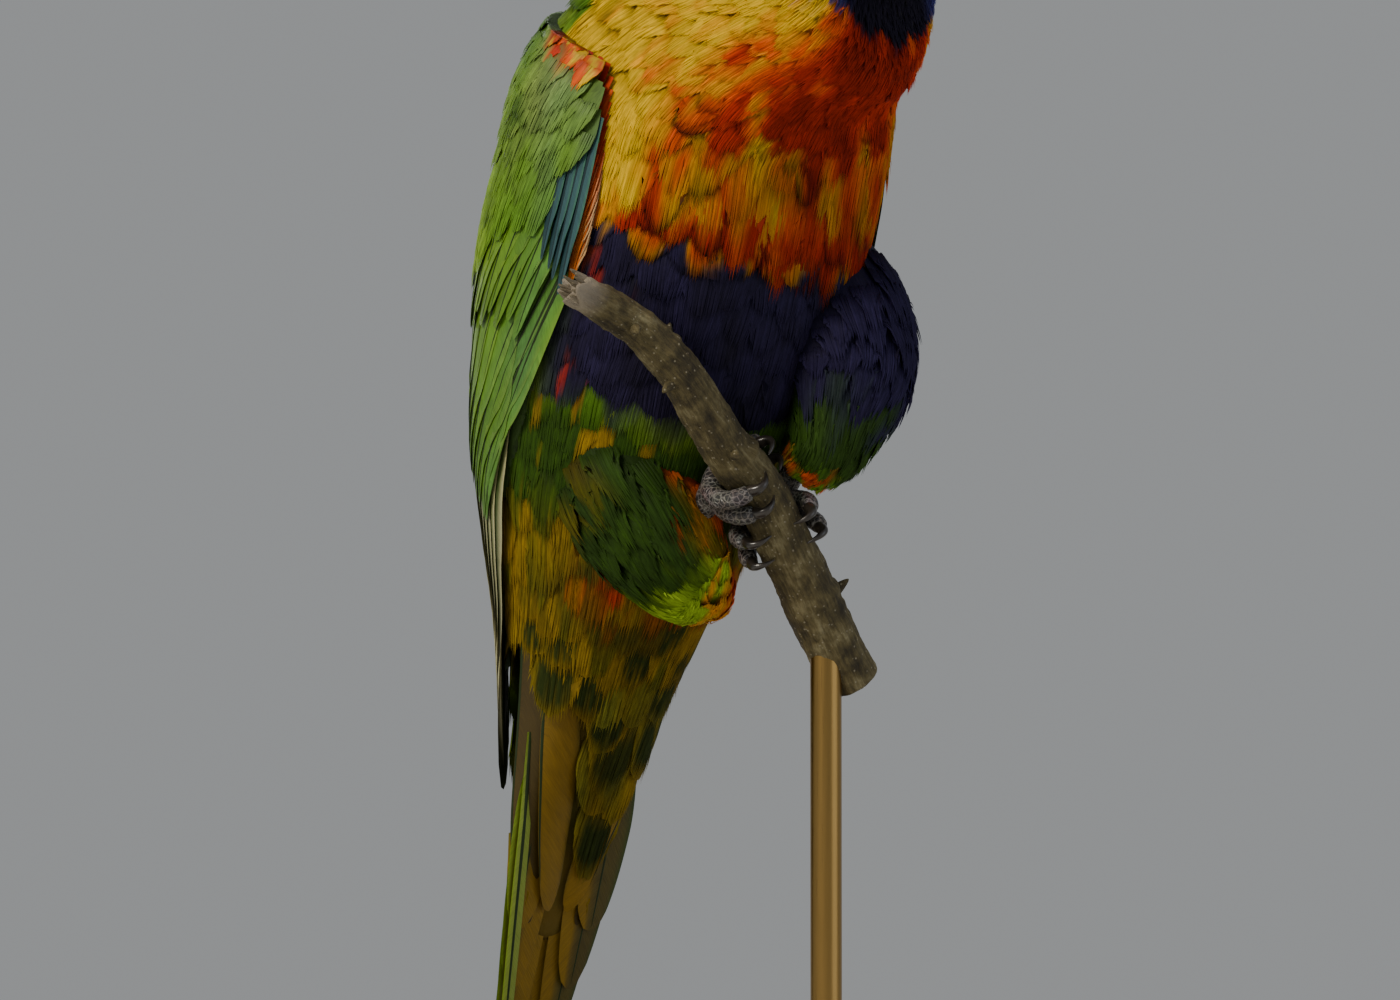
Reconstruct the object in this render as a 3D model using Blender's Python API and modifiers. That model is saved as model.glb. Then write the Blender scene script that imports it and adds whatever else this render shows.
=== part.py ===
"""A rainbow lorikeet, life size, gripping a short cut branch on a display stand.

The bird faces -Y, its left side is at +X and up is +Z. The origin is the
centre of the underside of the stand's base. Body places are given by how far
they lie along the body's axis, how far in front of it, and how far to the
bird's left.
"""

import math
import random

import bmesh
import bpy
from mathutils import Matrix, Vector

MM = 0.001

# Pose and place of the body
BODY_PITCH = math.radians(67.0)
BODY_PIVOT = Vector((0.0, 25.0, 160.0)) * MM
JOINT_GAP = 0.3 * MM

# Sections of the body, in millimetres: place along the axis, centre in front
# of it, half width, reach of the belly side, reach of the back
BODY_SECTIONS = [
    (-66.0, 9.0, 12.5, 5.0, 4.0),
    (-47.0, 6.5, 14.5, 10.5, 8.5),
    (-28.0, 4.0, 18.0, 17.0, 13.5),
    (-13.0, 1.5, 22.5, 24.0, 17.0),
    (0.0, 0.0, 26.5, 27.0, 20.5),
    (15.0, 0.0, 29.5, 29.5, 25.0),
    (30.0, 0.0, 32.0, 32.5, 28.0),
    (45.0, 0.0, 33.0, 34.5, 29.5),
    (60.0, 0.0, 33.0, 34.5, 29.5),
    (75.0, 0.5, 32.6, 33.5, 29.5),
    (84.0, 1.0, 31.2, 33.0, 28.0),
]
SECTION_POWER = 2.4
SECTION_SIDES = 28
TORSO_BOTTOM = -30.0
TORSO_STEPS = 12

# Neck from the chest up: left, along and in front of the pivot, half width,
# reach of throat and nape, and lean forward of the body's axis in degrees
NECK_SECTIONS = [
    (0.0, 75.0, 0.5, 32.6, 33.5, 29.5, 0.0),
    (0.4, 84.0, 1.5, 31.2, 33.0, 28.8, 8.0),
    (1.2, 93.0, 5.0, 28.6, 30.0, 26.8, 18.0),
    (2.5, 102.0, 11.0, 25.4, 28.0, 24.5, 30.0),
    (4.4, 111.5, 19.5, 22.4, 27.0, 23.0, 43.0),
    (6.0, 121.0, 27.5, 19.4, 24.5, 20.5, 56.0),
]
TORSO_ENDS_AT = 1
NECK_ENDS_AT = 4
HEAD_CENTRE = (7.4, 130.0, 34.5)
HEAD_YAW = math.radians(24.0)
HEAD_PITCH = math.radians(-9.0)

# Head sections forward of its centre: forward, half width, throat, crown
HEAD_SECTIONS = [
    (0.0, 16.8, 19.6, 18.0),
    (5.0, 16.0, 17.8, 17.2),
    (9.5, 14.4, 15.4, 15.2),
    (13.0, 11.8, 13.6, 12.2),
    (15.6, 8.6, 11.6, 9.0),
    (17.2, 5.2, 9.4, 5.6),
]

# Bill: forward and down of its upper line, of its lower line, and half width
BILL_UPPER = [
    (12.0, -6.2, 3.4, 5.8), (16.0, -7.4, 3.6, 5.8), (20.6, -6.8, 4.2, 5.5), (25.0, -4.2, 5.6, 4.8),
    (28.4, 0.2, 8.2, 3.8), (30.0, 6.0, 11.6, 2.4), (29.7, 13.0, 14.2, 0.5),
]
BILL_UPPER_LEAN = [0.0, 0.0, 0.4, 1.6, 3.6, 3.4, 0.6]
BILL_LOWER = [
    (11.0, 4.2, 10.8, 5.0), (15.0, 4.3, 11.8, 4.9), (18.8, 4.9, 12.2, 4.4), (22.0, 6.6, 11.6, 3.4),
    (24.4, 9.2, 10.8, 1.6),
]
EYE_FORWARD = 6.0 * MM
EYE_UP = 3.5 * MM
EYE_OUT = 12.0 * MM
EYE_RADIUS = 4.3 * MM
LID_RADIUS = 5.6 * MM
LID_DEPTH = 2.2 * MM
NOSTRIL_PLACE = (18.0 * MM, 4.3 * MM, -4.6 * MM)
NOSTRIL_RADIUS = 0.9 * MM

# Wing: edges as angles round the body from the belly, by place along the axis
WING_FRONT = [
    (-10.0, 92.0), (-3.0, 88.0), (10.0, 81.0), (25.0, 73.0), (45.0, 71.0),
    (60.0, 71.0), (76.0, 74.0), (84.0, 84.0),
]
WING_BACK = [
    (-10.0, 164.0), (20.0, 169.0), (45.0, 167.0), (70.0, 160.0), (84.0, 138.0),
]
WING_CORE_PLACES = [82.0, 77.0, 66.0, 52.0, 36.0, 20.0, 6.0, -6.0]
WING_COLUMNS = 7
WING_CORE_INSIDE = -1.5
WING_CORE_LIFT = 1.0
WING_CORE_SWELL = 1.4
WING_EDGE_SWELL = 2.6
WING_THINS_OVER = 20.0
WING_LEAST_THICK = 0.35
VANE_THICK = 0.62 * MM
VANE_TILT = math.radians(7.0)
VANE_RISE_ENDS = 0.22
VANE_ROOT_WIDTH = 0.62
VANE_TIP_WIDTH = 0.16
VANE_ROUNDNESS = 3.2
VANE_STRETCH = 1.2

# Tiers of wing feathers: how many, place of the first root and of the last,
# first and last tip, first and last angle of root and of tip, widest width,
# lift at the root, after it and at the tip, and sections along the vane
WING_TIERS = {
    "primary": (9, 28, 12, -62, -14, 84, 120, 127, 148, 9.5, 0.9, 2.0, 2.4, 3),
    "secondary": (6, 46, 40, -8, 6, 108, 162, 132, 166, 14.0, 1.2, 3.0, 3.5, 3),
    "primary_covert": (3, 52, 50, 14, 20, 78, 92, 80, 94, 8.0, 1.4, 3.2, 3.4, 2),
    "greater_covert": (5, 60, 56, 30, 26, 94, 162, 100, 163, 15.5, 1.0, 3.8, 4.2, 2),
    "median_covert": (5, 73, 71, 50, 45, 84, 158, 88, 161, 15.5, 0.8, 3.4, 4.8, 2),
    "scapular": (2, 78, 77, 34, 40, 144, 164, 154, 168, 15.0, 0.6, 4.0, 5.0, 2),
}

# Tail: half width of the fan by place along the axis, and the tips from the
# middle pair outwards
TAIL_LINE_START = -66.0
TAIL_LINE_DROP = 0.09
TAIL_WIDTHS = [
    (-147.0, 1.4), (-134.0, 4.0), (-122.0, 6.0), (-105.0, 8.9), (-85.0, 11.8), (-66.0, 13.9),
    (-48.0, 13.9),
]
TAIL_TIPS = [-146.0, -135.0, -123.0, -111.0, -99.0, -87.0]
TAIL_ROOT = -50.0
TAIL_LAYER = 0.93
TAIL_STEP_IN = 0.7
TAIL_SIDES = 20
TAIL_CORE_PLACES = [-40.0, -52.0, -62.0]
TAIL_CORE_END = [(-72.0, 11.2, 3.4), (-77.0, 8.5, 2.2)]
RECTRIX_WIDTH = 10.5
RECTRIX_STEPS = 4
RECTRIX_TAPER = 0.88
RECTRIX_LEAST = 1.2
MIDLINE_GAP = 0.3

# Tail coverts: how many, root and tip along the axis, first and last angle
# from the belly, width, and lift off the body
COVERT_STEPS = 2
COVERT_RISE = 0.8
COVERT_TIERS = [
    (4, -37.0, -55.0, -60.0, 60.0, 13.0, 0.7),
    (3, -47.0, -67.0, -42.0, 42.0, 12.0, 0.9),
    (2, -56.0, -78.0, -22.0, 22.0, 11.5, 0.9),
    (2, -34.0, -60.0, 164.0, 196.0, 11.0, 0.5),
    (1, -46.0, -76.0, 180.0, 180.0, 9.0, 0.5),
]

# Legs: left, along and in front of the pivot, and radius, from hip to shank
LEGS = {
    1: [
        (19.0, 51.0, 13.0, 14.0), (21.4, 42.0, 23.5, 15.0), (22.2, 32.0, 31.0, 13.0),
        (18.4, 22.0, 37.0, 7.0),
    ],
    -1: [
        (-14.0, 18.0, 8.0, 11.0), (-11.5, 8.0, 15.5, 14.0), (-5.5, -2.5, 24.5, 12.0),
        (1.5, -10.5, 31.0, 6.0),
    ],
}
LEG_STEPS = 8
LEG_SIDES = 16
SHANK_RADIUS = 2.6 * MM
TOE_RADIUS = 2.2 * MM
TOE_SPREAD = 2.6 * MM
TOE_STEPS = 7
TOE_TAPER = 0.24
TOE_START = 12.0
CLAW_RADIUS = 1.15 * MM
CLAW_TURN = 44.0
CLAW_GAP_TURN = 3.0
CLAW_STEPS = 5
CLAW_ARCH = 1.5 * MM
BARK_GAP = JOINT_GAP + 0.05 * MM

# Feet: place on the branch, angle of the sole, reach of the toes over and
# under the branch in degrees, and the heel's place in the leg
FEET = {
    "left": (4.75, 30.0, 106.0, -112.0, (18.0, 20.0, 32.0)),
    "right": (3.8, -30.0, 112.0, -106.0, (-2.0, -4.0, 26.0)),
}

# Perch: points along the branch, left, in front of the pivot and above it
PERCH_ROUTE = [
    (-46.0, 51.0, 31.5), (-31.0, 49.0, 25.5), (-20.0, 49.0, 16.5), (-8.4, 45.0, 5.5),
    (3.0, 41.5, -3.2), (11.5, 39.0, -13.6), (20.8, 36.0, -25.0), (31.0, 33.0, -38.0),
]
PERCH_RADII = [3.4, 3.9, 4.3, 4.8, 5.1, 5.4, 5.6, 5.8]
PERCH_STEPS = 24

# Prickles: place along the branch and angle from the bird's side to its top
PRICKLES = [(0.9, 210.0), (1.5, 75.0), (1.9, 255.0), (2.6, 60.0), (3.1, 205.0), (5.9, 120.0)]
PRICKLE_LENGTH = 2.6 * MM
PRICKLE_ROOT = 1.1 * MM
PRICKLE_TAPER = [(0.0, 1.0), (0.55, 0.55), (1.0, 0.15)]
PERCH_SWELL = 0.045
SNAG = [(1.5, -2.4), (-0.8, -1.2), (-2.6, -0.4)]
SNAG_RADII = [1.9 * MM, 1.5 * MM, 0.9 * MM]
SNAG_ANGLE = math.radians(150.0)

# Stand
BASE_RADIUS = 75.0 * MM
BASE_HEIGHT = 12.0 * MM
BASE_BEVEL = 2.5 * MM
BASE_SIDES = 48
ROD_RADIUS = 3.0 * MM
ROD_PLACE = 6.3
ROD_SIDES = 20

UP_BODY = Vector((0.0, -math.cos(BODY_PITCH), math.sin(BODY_PITCH)))
FRONT = Vector((0.0, -math.sin(BODY_PITCH), -math.cos(BODY_PITCH)))
LEFT = Vector((1.0, 0.0, 0.0))

COLOURS = {
    "plumage_green": ((0.16, 0.36, 0.05, 1.0), 0.75),
    "plumage_breast": ((0.85, 0.32, 0.04, 1.0), 0.8),
    "plumage_head": ((0.05, 0.06, 0.28, 1.0), 0.75),
    "bill": ((0.75, 0.12, 0.04, 1.0), 0.35),
    "eye": ((0.3, 0.03, 0.02, 1.0), 0.1),
    "skin": ((0.10, 0.10, 0.12, 1.0), 0.6),
    "claw": ((0.03, 0.03, 0.03, 1.0), 0.35),
    "bark": ((0.16, 0.13, 0.08, 1.0), 0.85),
    "wood": ((0.30, 0.18, 0.10, 1.0), 0.45),
    "brass": ((0.72, 0.53, 0.25, 1.0), 0.3),
}


def smooth_value(rows, place, column):
    """Reads one column of a table as a smooth curve through its rows."""
    if place <= rows[0][0]:
        return rows[0][column]
    if place >= rows[-1][0]:
        return rows[-1][column]
    index = max(i for i in range(len(rows) - 1) if rows[i][0] <= place)
    before = rows[max(index - 1, 0)]
    low = rows[index]
    high = rows[index + 1]
    after = rows[min(index + 2, len(rows) - 1)]
    span = high[0] - low[0]
    share = (place - low[0]) / span
    slope_low = (high[column] - before[column]) / (high[0] - before[0]) * span
    slope_high = (after[column] - low[column]) / (after[0] - low[0]) * span
    cube = share ** 3
    square = share ** 2
    return (
        (2 * cube - 3 * square + 1) * low[column]
        + (cube - 2 * square + share) * slope_low
        + (3 * square - 2 * cube) * high[column]
        + (cube - square) * slope_high
    )


def spread(first, last, index, count):
    """Value at one of evenly spaced places from the first to the last."""
    return first + (last - first) * index / max(count - 1, 1)


def body_point(left, along, front):
    """World place of a point given in millimetres in the body's own axes."""
    return BODY_PIVOT + (LEFT * left + UP_BODY * along + FRONT * front) * MM


def superellipse(angle, half_width, front, back):
    """Left and front reach of a section at an angle from the belly."""
    sine = math.sin(angle)
    cosine = math.cos(angle)
    left = half_width * math.copysign(abs(sine) ** (2 / SECTION_POWER), sine)
    reach = front if cosine > 0 else back
    return left, reach * math.copysign(abs(cosine) ** (2 / SECTION_POWER), cosine)


def body_surface(along, angle, lift=0.0):
    """Point on the body at an angle from the belly, lifted off it in millimetres."""
    centre = smooth_value(BODY_SECTIONS, along, 1)
    half_width = smooth_value(BODY_SECTIONS, along, 2) + lift
    front = smooth_value(BODY_SECTIONS, along, 3) + lift
    back = smooth_value(BODY_SECTIONS, along, 4) + lift
    left, reach = superellipse(angle, half_width, front, back)
    return body_point(left, along, centre + reach)


def ring_angles(count):
    return [2 * math.pi * i / count for i in range(count)]


def link_mesh(name, mesh, material, collection):
    thing = bpy.data.objects.new(name, mesh)
    collection.objects.link(thing)
    mesh.materials.clear()
    mesh.materials.append(material)
    return thing


def loft(name, rings, material, collection):
    """Closed solid through rings of equally many points, flat at both ends."""
    shape = bmesh.new()
    rows = [[shape.verts.new(point) for point in ring] for ring in rings]
    count = len(rows[0])
    for low, high in zip(rows, rows[1:]):
        for i in range(count):
            j = (i + 1) % count
            shape.faces.new((low[i], low[j], high[j]))
            shape.faces.new((low[i], high[j], high[i]))
    shape.faces.new(list(reversed(rows[0])))
    shape.faces.new(rows[-1])
    bmesh.ops.recalc_face_normals(shape, faces=shape.faces[:])
    mesh = bpy.data.meshes.new(name)
    shape.to_mesh(mesh)
    shape.free()
    return link_mesh(name, mesh, material, collection)


def tube(name, points, radii, material, collection, resolution=2):
    """Round tube of changing radius through the points, as a closed mesh."""
    curve = bpy.data.curves.new(name, "CURVE")
    curve.dimensions = "3D"
    curve.bevel_depth = 1.0
    curve.bevel_resolution = resolution
    curve.use_fill_caps = True
    spline = curve.splines.new("POLY")
    spline.points.add(len(points) - 1)
    for spot, point, radius in zip(spline.points, points, radii):
        spot.co = (*point, 1.0)
        spot.radius = radius
    drawn = bpy.data.objects.new(name + "_curve", curve)
    collection.objects.link(drawn)
    bpy.context.view_layer.update()
    depsgraph = bpy.context.evaluated_depsgraph_get()
    mesh = bpy.data.meshes.new_from_object(drawn.evaluated_get(depsgraph))
    bpy.data.objects.remove(drawn)
    shape = bmesh.new()
    shape.from_mesh(mesh)
    bmesh.ops.remove_doubles(shape, verts=shape.verts[:], dist=0.001 * MM)
    bmesh.ops.recalc_face_normals(shape, faces=shape.faces[:])
    shape.to_mesh(mesh)
    shape.free()
    mesh.name = name
    return link_mesh(name, mesh, material, collection)


def spline_points(points, count):
    """Evenly numbered points on a smooth curve through the given ones."""
    rows = [(float(i), *point) for i, point in enumerate(points)]
    last = len(points) - 1
    places = [last * i / (count - 1) for i in range(count)]
    return [Vector([smooth_value(rows, place, axis + 1) for axis in range(3)]) for place in places]


def apply_modifiers(thing):
    depsgraph = bpy.context.evaluated_depsgraph_get()
    mesh = bpy.data.meshes.new_from_object(thing.evaluated_get(depsgraph))
    thing.modifiers.clear()
    thing.data = mesh


def keep_largest(thing):
    """Leaves the largest closed surface of a mesh and drops loose scraps."""
    shape = bmesh.new()
    shape.from_mesh(thing.data)
    shape.verts.ensure_lookup_table()
    groups = []
    seen = set()
    for start in shape.verts:
        if start in seen:
            continue
        group = [start]
        seen.add(start)
        for vertex in group:
            for edge in vertex.link_edges:
                other = edge.other_vert(vertex)
                if other not in seen:
                    seen.add(other)
                    group.append(other)
        groups.append(group)
    groups.sort(key=group_size)
    loose = [vertex for group in groups[:-1] for vertex in group]
    bmesh.ops.delete(shape, geom=loose, context="VERTS")
    shape.to_mesh(thing.data)
    shape.free()


def group_size(group):
    """Volume of the box round a group of vertices."""
    size = 1.0
    for axis in range(3):
        values = [vertex.co[axis] for vertex in group]
        size *= max(values) - min(values)
    return size


def join_pieces(core, pieces, solver="EXACT"):
    """Fuses the pieces with the core by one union and removes them."""
    group = bpy.data.collections.new(core.name + "_pieces")
    for piece in pieces:
        group.objects.link(piece)
    bpy.context.scene.collection.children.link(group)
    union = core.modifiers.new("union", "BOOLEAN")
    union.operation = "UNION"
    union.solver = solver
    union.operand_type = "COLLECTION"
    union.collection = group
    bpy.context.view_layer.update()
    apply_modifiers(core)
    for piece in pieces:
        bpy.data.objects.remove(piece)
    bpy.data.collections.remove(group)
    keep_largest(core)


def cut_away(thing, cutter, solver="EXACT"):
    """Cuts one solid out of another; the cutter stays for other cuts."""
    cut = thing.modifiers.new("cut", "BOOLEAN")
    cut.operation = "DIFFERENCE"
    cut.solver = solver
    cut.object = cutter
    bpy.context.view_layer.update()
    apply_modifiers(thing)
    keep_largest(thing)


def vane(name, path, sides, widths, thickness, material, collection):
    """Feather vane along a path: a thin tapered blade with a raised shaft.

    Every section has its two edges and its middle on both faces, and both
    faces are split into triangles alike.
    """
    shape = bmesh.new()
    rows = []
    for index, (point, side, width) in enumerate(zip(path, sides, widths)):
        ahead = path[min(index + 1, len(path) - 1)] - path[max(index - 1, 0)]
        out = side.cross(ahead).normalized()
        share = index / (len(path) - 1)
        middle = thickness * (0.62 - 0.22 * share)
        edge = thickness * (0.45 - 0.15 * share)
        half = side.normalized() * width / 2
        upper = [point - half + out * edge, point + out * middle, point + half + out * edge]
        lower = [point - half - out * edge, point - out * edge, point + half - out * edge]
        rows.append([[shape.verts.new(spot) for spot in face] for face in (upper, lower)])
    for low, high in zip(rows, rows[1:]):
        for face in (0, 1):
            for i in (0, 1):
                shape.faces.new((low[face][i], low[face][i + 1], high[face][i + 1]))
                shape.faces.new((low[face][i], high[face][i + 1], high[face][i]))
        for i in (0, 2):
            shape.faces.new((low[0][i], low[1][i], high[1][i]))
            shape.faces.new((low[0][i], high[1][i], high[0][i]))
    for row in (rows[0], rows[-1]):
        for i in (0, 1):
            shape.faces.new((row[0][i], row[0][i + 1], row[1][i + 1]))
            shape.faces.new((row[0][i], row[1][i + 1], row[1][i]))
    bmesh.ops.recalc_face_normals(shape, faces=shape.faces[:])
    mesh = bpy.data.meshes.new(name)
    shape.to_mesh(mesh)
    shape.free()
    return link_mesh(name, mesh, material, collection)


def body_ring(along, count=SECTION_SIDES):
    return [body_surface(along, angle) for angle in ring_angles(count)]


def grown_copy(thing, collection, gap=JOINT_GAP):
    """A cutter: the thing's own shape, pushed out all round by the gap."""
    shape = bmesh.new()
    shape.from_mesh(thing.data)
    shape.transform(thing.matrix_world)
    bmesh.ops.triangulate(shape, faces=shape.faces[:])
    shape.normal_update()
    pushed = [vertex.co + corner_push(vertex) * gap for vertex in shape.verts]
    for vertex, spot in zip(shape.verts, pushed):
        vertex.co = spot
    mesh = bpy.data.meshes.new(thing.name + "_cutter")
    shape.to_mesh(mesh)
    shape.free()
    cutter = link_mesh(thing.name + "_cutter", mesh, None, collection)
    cutter.hide_render = True
    cutter.display_type = "WIRE"
    return cutter


def corner_push(vertex):
    """Direction out of a corner, long enough to clear each face there by one."""
    normal = vertex.normal
    least = min(max(face.normal.dot(normal), 0.35) for face in vertex.link_faces)
    return normal / least


def make_torso(frames, materials, collection):
    top = NECK_SECTIONS[0][1]
    rings = [body_ring(spread(TORSO_BOTTOM, top, i, TORSO_STEPS)) for i in range(TORSO_STEPS)]
    for centre, ahead, side, sizes in frames[1 : TORSO_ENDS_AT + 1]:
        rings.append(section_ring(centre, side, side.cross(ahead), sizes))
    return loft("torso", rings, materials["plumage_breast"], collection)


def head_axes():
    """Gaze, left and down directions of the head."""
    level = math.cos(HEAD_PITCH)
    gaze = Vector((math.sin(HEAD_YAW) * level, -math.cos(HEAD_YAW) * level, math.sin(HEAD_PITCH)))
    side = Vector((math.cos(HEAD_YAW), math.sin(HEAD_YAW), 0.0))
    return gaze, side, side.cross(gaze).normalized()


def head_point(forward, left, down):
    gaze, side, below = head_axes()
    return body_point(*HEAD_CENTRE) + gaze * forward + side * left + below * down


def section_ring(centre, side, front, sizes, count=SECTION_SIDES):
    half_width, fore, back = sizes
    ring = []
    for angle in ring_angles(count):
        left, reach = superellipse(angle, half_width, fore, back)
        ring.append(centre + (side * left + front * reach) * MM)
    return ring


def neck_frames():
    """Centres, directions, sides and sizes of the sections from chest to head."""
    gaze, head_side, head_down = head_axes()
    frames = []
    for index, (left, along, front, half_width, throat, nape, lean) in enumerate(NECK_SECTIONS):
        turned = HEAD_YAW * (index / len(NECK_SECTIONS)) ** 1.5
        tilt = math.radians(lean)
        ahead = UP_BODY * math.cos(tilt) + FRONT * math.sin(tilt)
        ahead = Matrix.Rotation(turned, 3, "Z") @ ahead
        side = Matrix.Rotation(turned, 3, "Z") @ LEFT
        frames.append((body_point(left, along, front), ahead, side, (half_width, throat, nape)))
    frames.append((body_point(*HEAD_CENTRE), gaze, head_side, HEAD_SECTIONS[0][1:]))
    return frames


def make_neck_and_head(frames, materials, collection):
    rings = [section_ring(c, side, side.cross(ahead), sizes) for c, ahead, side, sizes in frames]
    low = rings[TORSO_ENDS_AT : NECK_ENDS_AT + 1]
    low[0] = [point + frames[TORSO_ENDS_AT][1] * JOINT_GAP for point in low[0]]
    neck = loft("neck", low, materials["plumage_breast"], collection)
    gaze, side, below = head_axes()
    high = rings[NECK_ENDS_AT:]
    high[0] = [point + frames[NECK_ENDS_AT][1] * JOINT_GAP for point in high[0]]
    for forward, *sizes in HEAD_SECTIONS[1:]:
        centre = head_point(forward * MM, 0.0, 0.0)
        high.append(section_ring(centre, side, below, sizes))
    head = loft("head", high, materials["plumage_head"], collection)
    return neck, head


def bill_ring(upper, lower, half_width, count=12):
    """Section of the bill between its upper and its lower line."""
    middle = (upper + lower) / 2
    reach = (upper - lower) / 2
    side = head_axes()[1]
    return [
        middle + reach * math.cos(angle) + side * half_width * math.sin(angle)
        for angle in ring_angles(count)
    ]


def make_bill(materials, collection):
    """Hooked upper half and the short lower half under it."""
    upper = []
    for (forward, top, bottom, half_width), lean in zip(BILL_UPPER, BILL_UPPER_LEAN):
        high = head_point(forward * MM, 0.0, top * MM)
        low = head_point((forward - lean) * MM, 0.0, bottom * MM)
        upper.append(bill_ring(high, low, half_width * MM))
    lower = []
    for forward, top, bottom, half_width in BILL_LOWER:
        high = head_point(forward * MM, 0.0, top * MM)
        low = head_point(forward * MM, 0.0, bottom * MM)
        lower.append(bill_ring(high, low, half_width * MM))
    bill_upper = loft("bill_upper", upper, materials["bill"], collection)
    bill_lower = loft("bill_lower", lower, materials["bill"], collection)
    return bill_upper, bill_lower


def ball(name, centre, radius, segments, collection, material=None):
    shape = bmesh.new()
    bmesh.ops.create_uvsphere(shape, u_segments=segments, v_segments=segments * 4 // 7, radius=radius)
    mesh = bpy.data.meshes.new(name)
    shape.to_mesh(mesh)
    shape.free()
    thing = link_mesh(name, mesh, material, collection)
    thing.location = centre
    return thing


def make_eye(name, turn, materials, collection):
    centre = head_point(EYE_FORWARD, turn * EYE_OUT, -EYE_UP)
    return ball(name, centre, EYE_RADIUS, 14, collection, materials["eye"])


def make_lid(turn, materials, collection):
    """Low dome of bare skin round an eye, which the eye's socket opens."""
    centre = head_point(EYE_FORWARD, turn * (EYE_OUT - LID_DEPTH), -EYE_UP)
    return ball("lid", centre, LID_RADIUS, 14, collection, materials["plumage_head"])


def make_face(head, materials, collection, guides):
    """Eyes and bill, each let into the head with the gap round it."""
    pieces = list(make_bill(materials, collection))
    for name, turn in (("eye_left", 1), ("eye_right", -1)):
        pieces.append(make_eye(name, turn, materials, collection))
    bpy.context.view_layer.update()
    lids = [make_lid(turn, materials, collection) for turn in (1, -1)]
    join_pieces(head, lids)
    for piece in pieces:
        cut_away(head, grown_copy(piece, guides))
    for turn in (1, -1):
        forward, left, down = NOSTRIL_PLACE
        pit = ball("nostril", head_point(forward, turn * left, down), NOSTRIL_RADIUS, 8, guides)
        pit.hide_render = True
        pit.display_type = "WIRE"
        bpy.context.view_layer.update()
        cut_away(pieces[0], pit)


def wing_edge(rows, along):
    return math.radians(smooth_value(rows, along, 1))


def widths_along(widest, steps):
    """Widths of a vane from its root to its rounded tip."""
    widths = []
    for i in range(steps + 1):
        share = i / steps
        swell = VANE_ROOT_WIDTH + (1 - VANE_ROOT_WIDTH) * math.sin(math.pi / 2 * share)
        taper = 1 - (1 - VANE_TIP_WIDTH) * share ** VANE_ROUNDNESS
        widths.append(widest * swell * taper * MM)
    return widths


def surface_vane(name, root, tip, widest, lifts, steps, turn, material, collection):
    """A vane laid on the body from its root to its tip, front edge outermost."""
    path = []
    sides = []
    for i in range(steps + 1):
        share = i / steps
        along = root[0] + (tip[0] - root[0]) * share
        angle = math.radians(root[1] + (tip[1] - root[1]) * share) * turn
        rise = min(share / VANE_RISE_ENDS, 1.0)
        lift = lifts[0] + (lifts[1] - lifts[0]) * rise + (lifts[2] - lifts[1]) * share
        here = body_surface(along, angle, lift)
        step = math.radians(2.0) * turn
        side = body_surface(along, angle + step, lift) - body_surface(along, angle - step, lift)
        side.normalize()
        outward = (body_surface(along, angle, lift + 1.0) - here).normalized()
        outward = (outward - side * outward.dot(side)).normalized()
        path.append(here)
        sides.append(side * math.cos(VANE_TILT) - outward * math.sin(VANE_TILT))
    widths = widths_along(widest, steps)
    return vane(name, path, sides, widths, VANE_THICK, material, collection)


def wing_ring(along, turn):
    """Section of the wing's shell: its outer face, then its inner face back."""
    start = wing_edge(WING_FRONT, along)
    end = wing_edge(WING_BACK, along)
    thin = min((along - WING_CORE_PLACES[-1]) / WING_THINS_OVER + WING_LEAST_THICK, 1.0)
    outer = []
    inner = []
    for i in range(WING_COLUMNS):
        share = i / (WING_COLUMNS - 1)
        angle = turn * (start + (end - start) * share)
        swell = WING_CORE_SWELL * (1 - abs(2 * share - 1) ** 3)
        lift = WING_CORE_LIFT + (swell + WING_EDGE_SWELL * (1 - share) ** 4) * thin
        outer.append(body_surface(along, angle, lift))
        inner.append(body_surface(along, angle, WING_CORE_INSIDE))
    return outer + list(reversed(inner))


def wing_vanes(turn, draws, material, collection):
    vanes = []
    for tier, row in WING_TIERS.items():
        count, steps = row[0], row[-1]
        roots, tips, root_angles, tip_angles = row[1:3], row[3:5], row[5:7], row[7:9]
        for i in range(count):
            stretch = draws.uniform(-VANE_STRETCH, VANE_STRETCH)
            root = (spread(*roots, i, count), spread(*root_angles, i, count))
            tip = (spread(*tips, i, count) + stretch, spread(*tip_angles, i, count))
            widest = row[9] * draws.uniform(0.95, 1.05)
            name = "%s_%d" % (tier, i)
            lifts = row[10:13]
            vanes.append(surface_vane(name, root, tip, widest, lifts, steps, turn, material, collection))
    return vanes


def make_wing(turn, cutters, draws, materials, collection):
    """Folded wing: a thick-edged shell and its tiers of feathers."""
    name = "wing_left" if turn > 0 else "wing_right"
    green = materials["plumage_green"]
    wing = loft(name, [wing_ring(along, turn) for along in WING_CORE_PLACES], green, collection)
    join_pieces(wing, wing_vanes(turn, draws, green, collection))
    for cutter in cutters:
        cut_away(wing, cutter)
    return wing


def tail_centre(along):
    if along > TAIL_LINE_START:
        return smooth_value(BODY_SECTIONS, along, 1)
    return BODY_SECTIONS[0][1] + TAIL_LINE_DROP * (TAIL_LINE_START - along)


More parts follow.
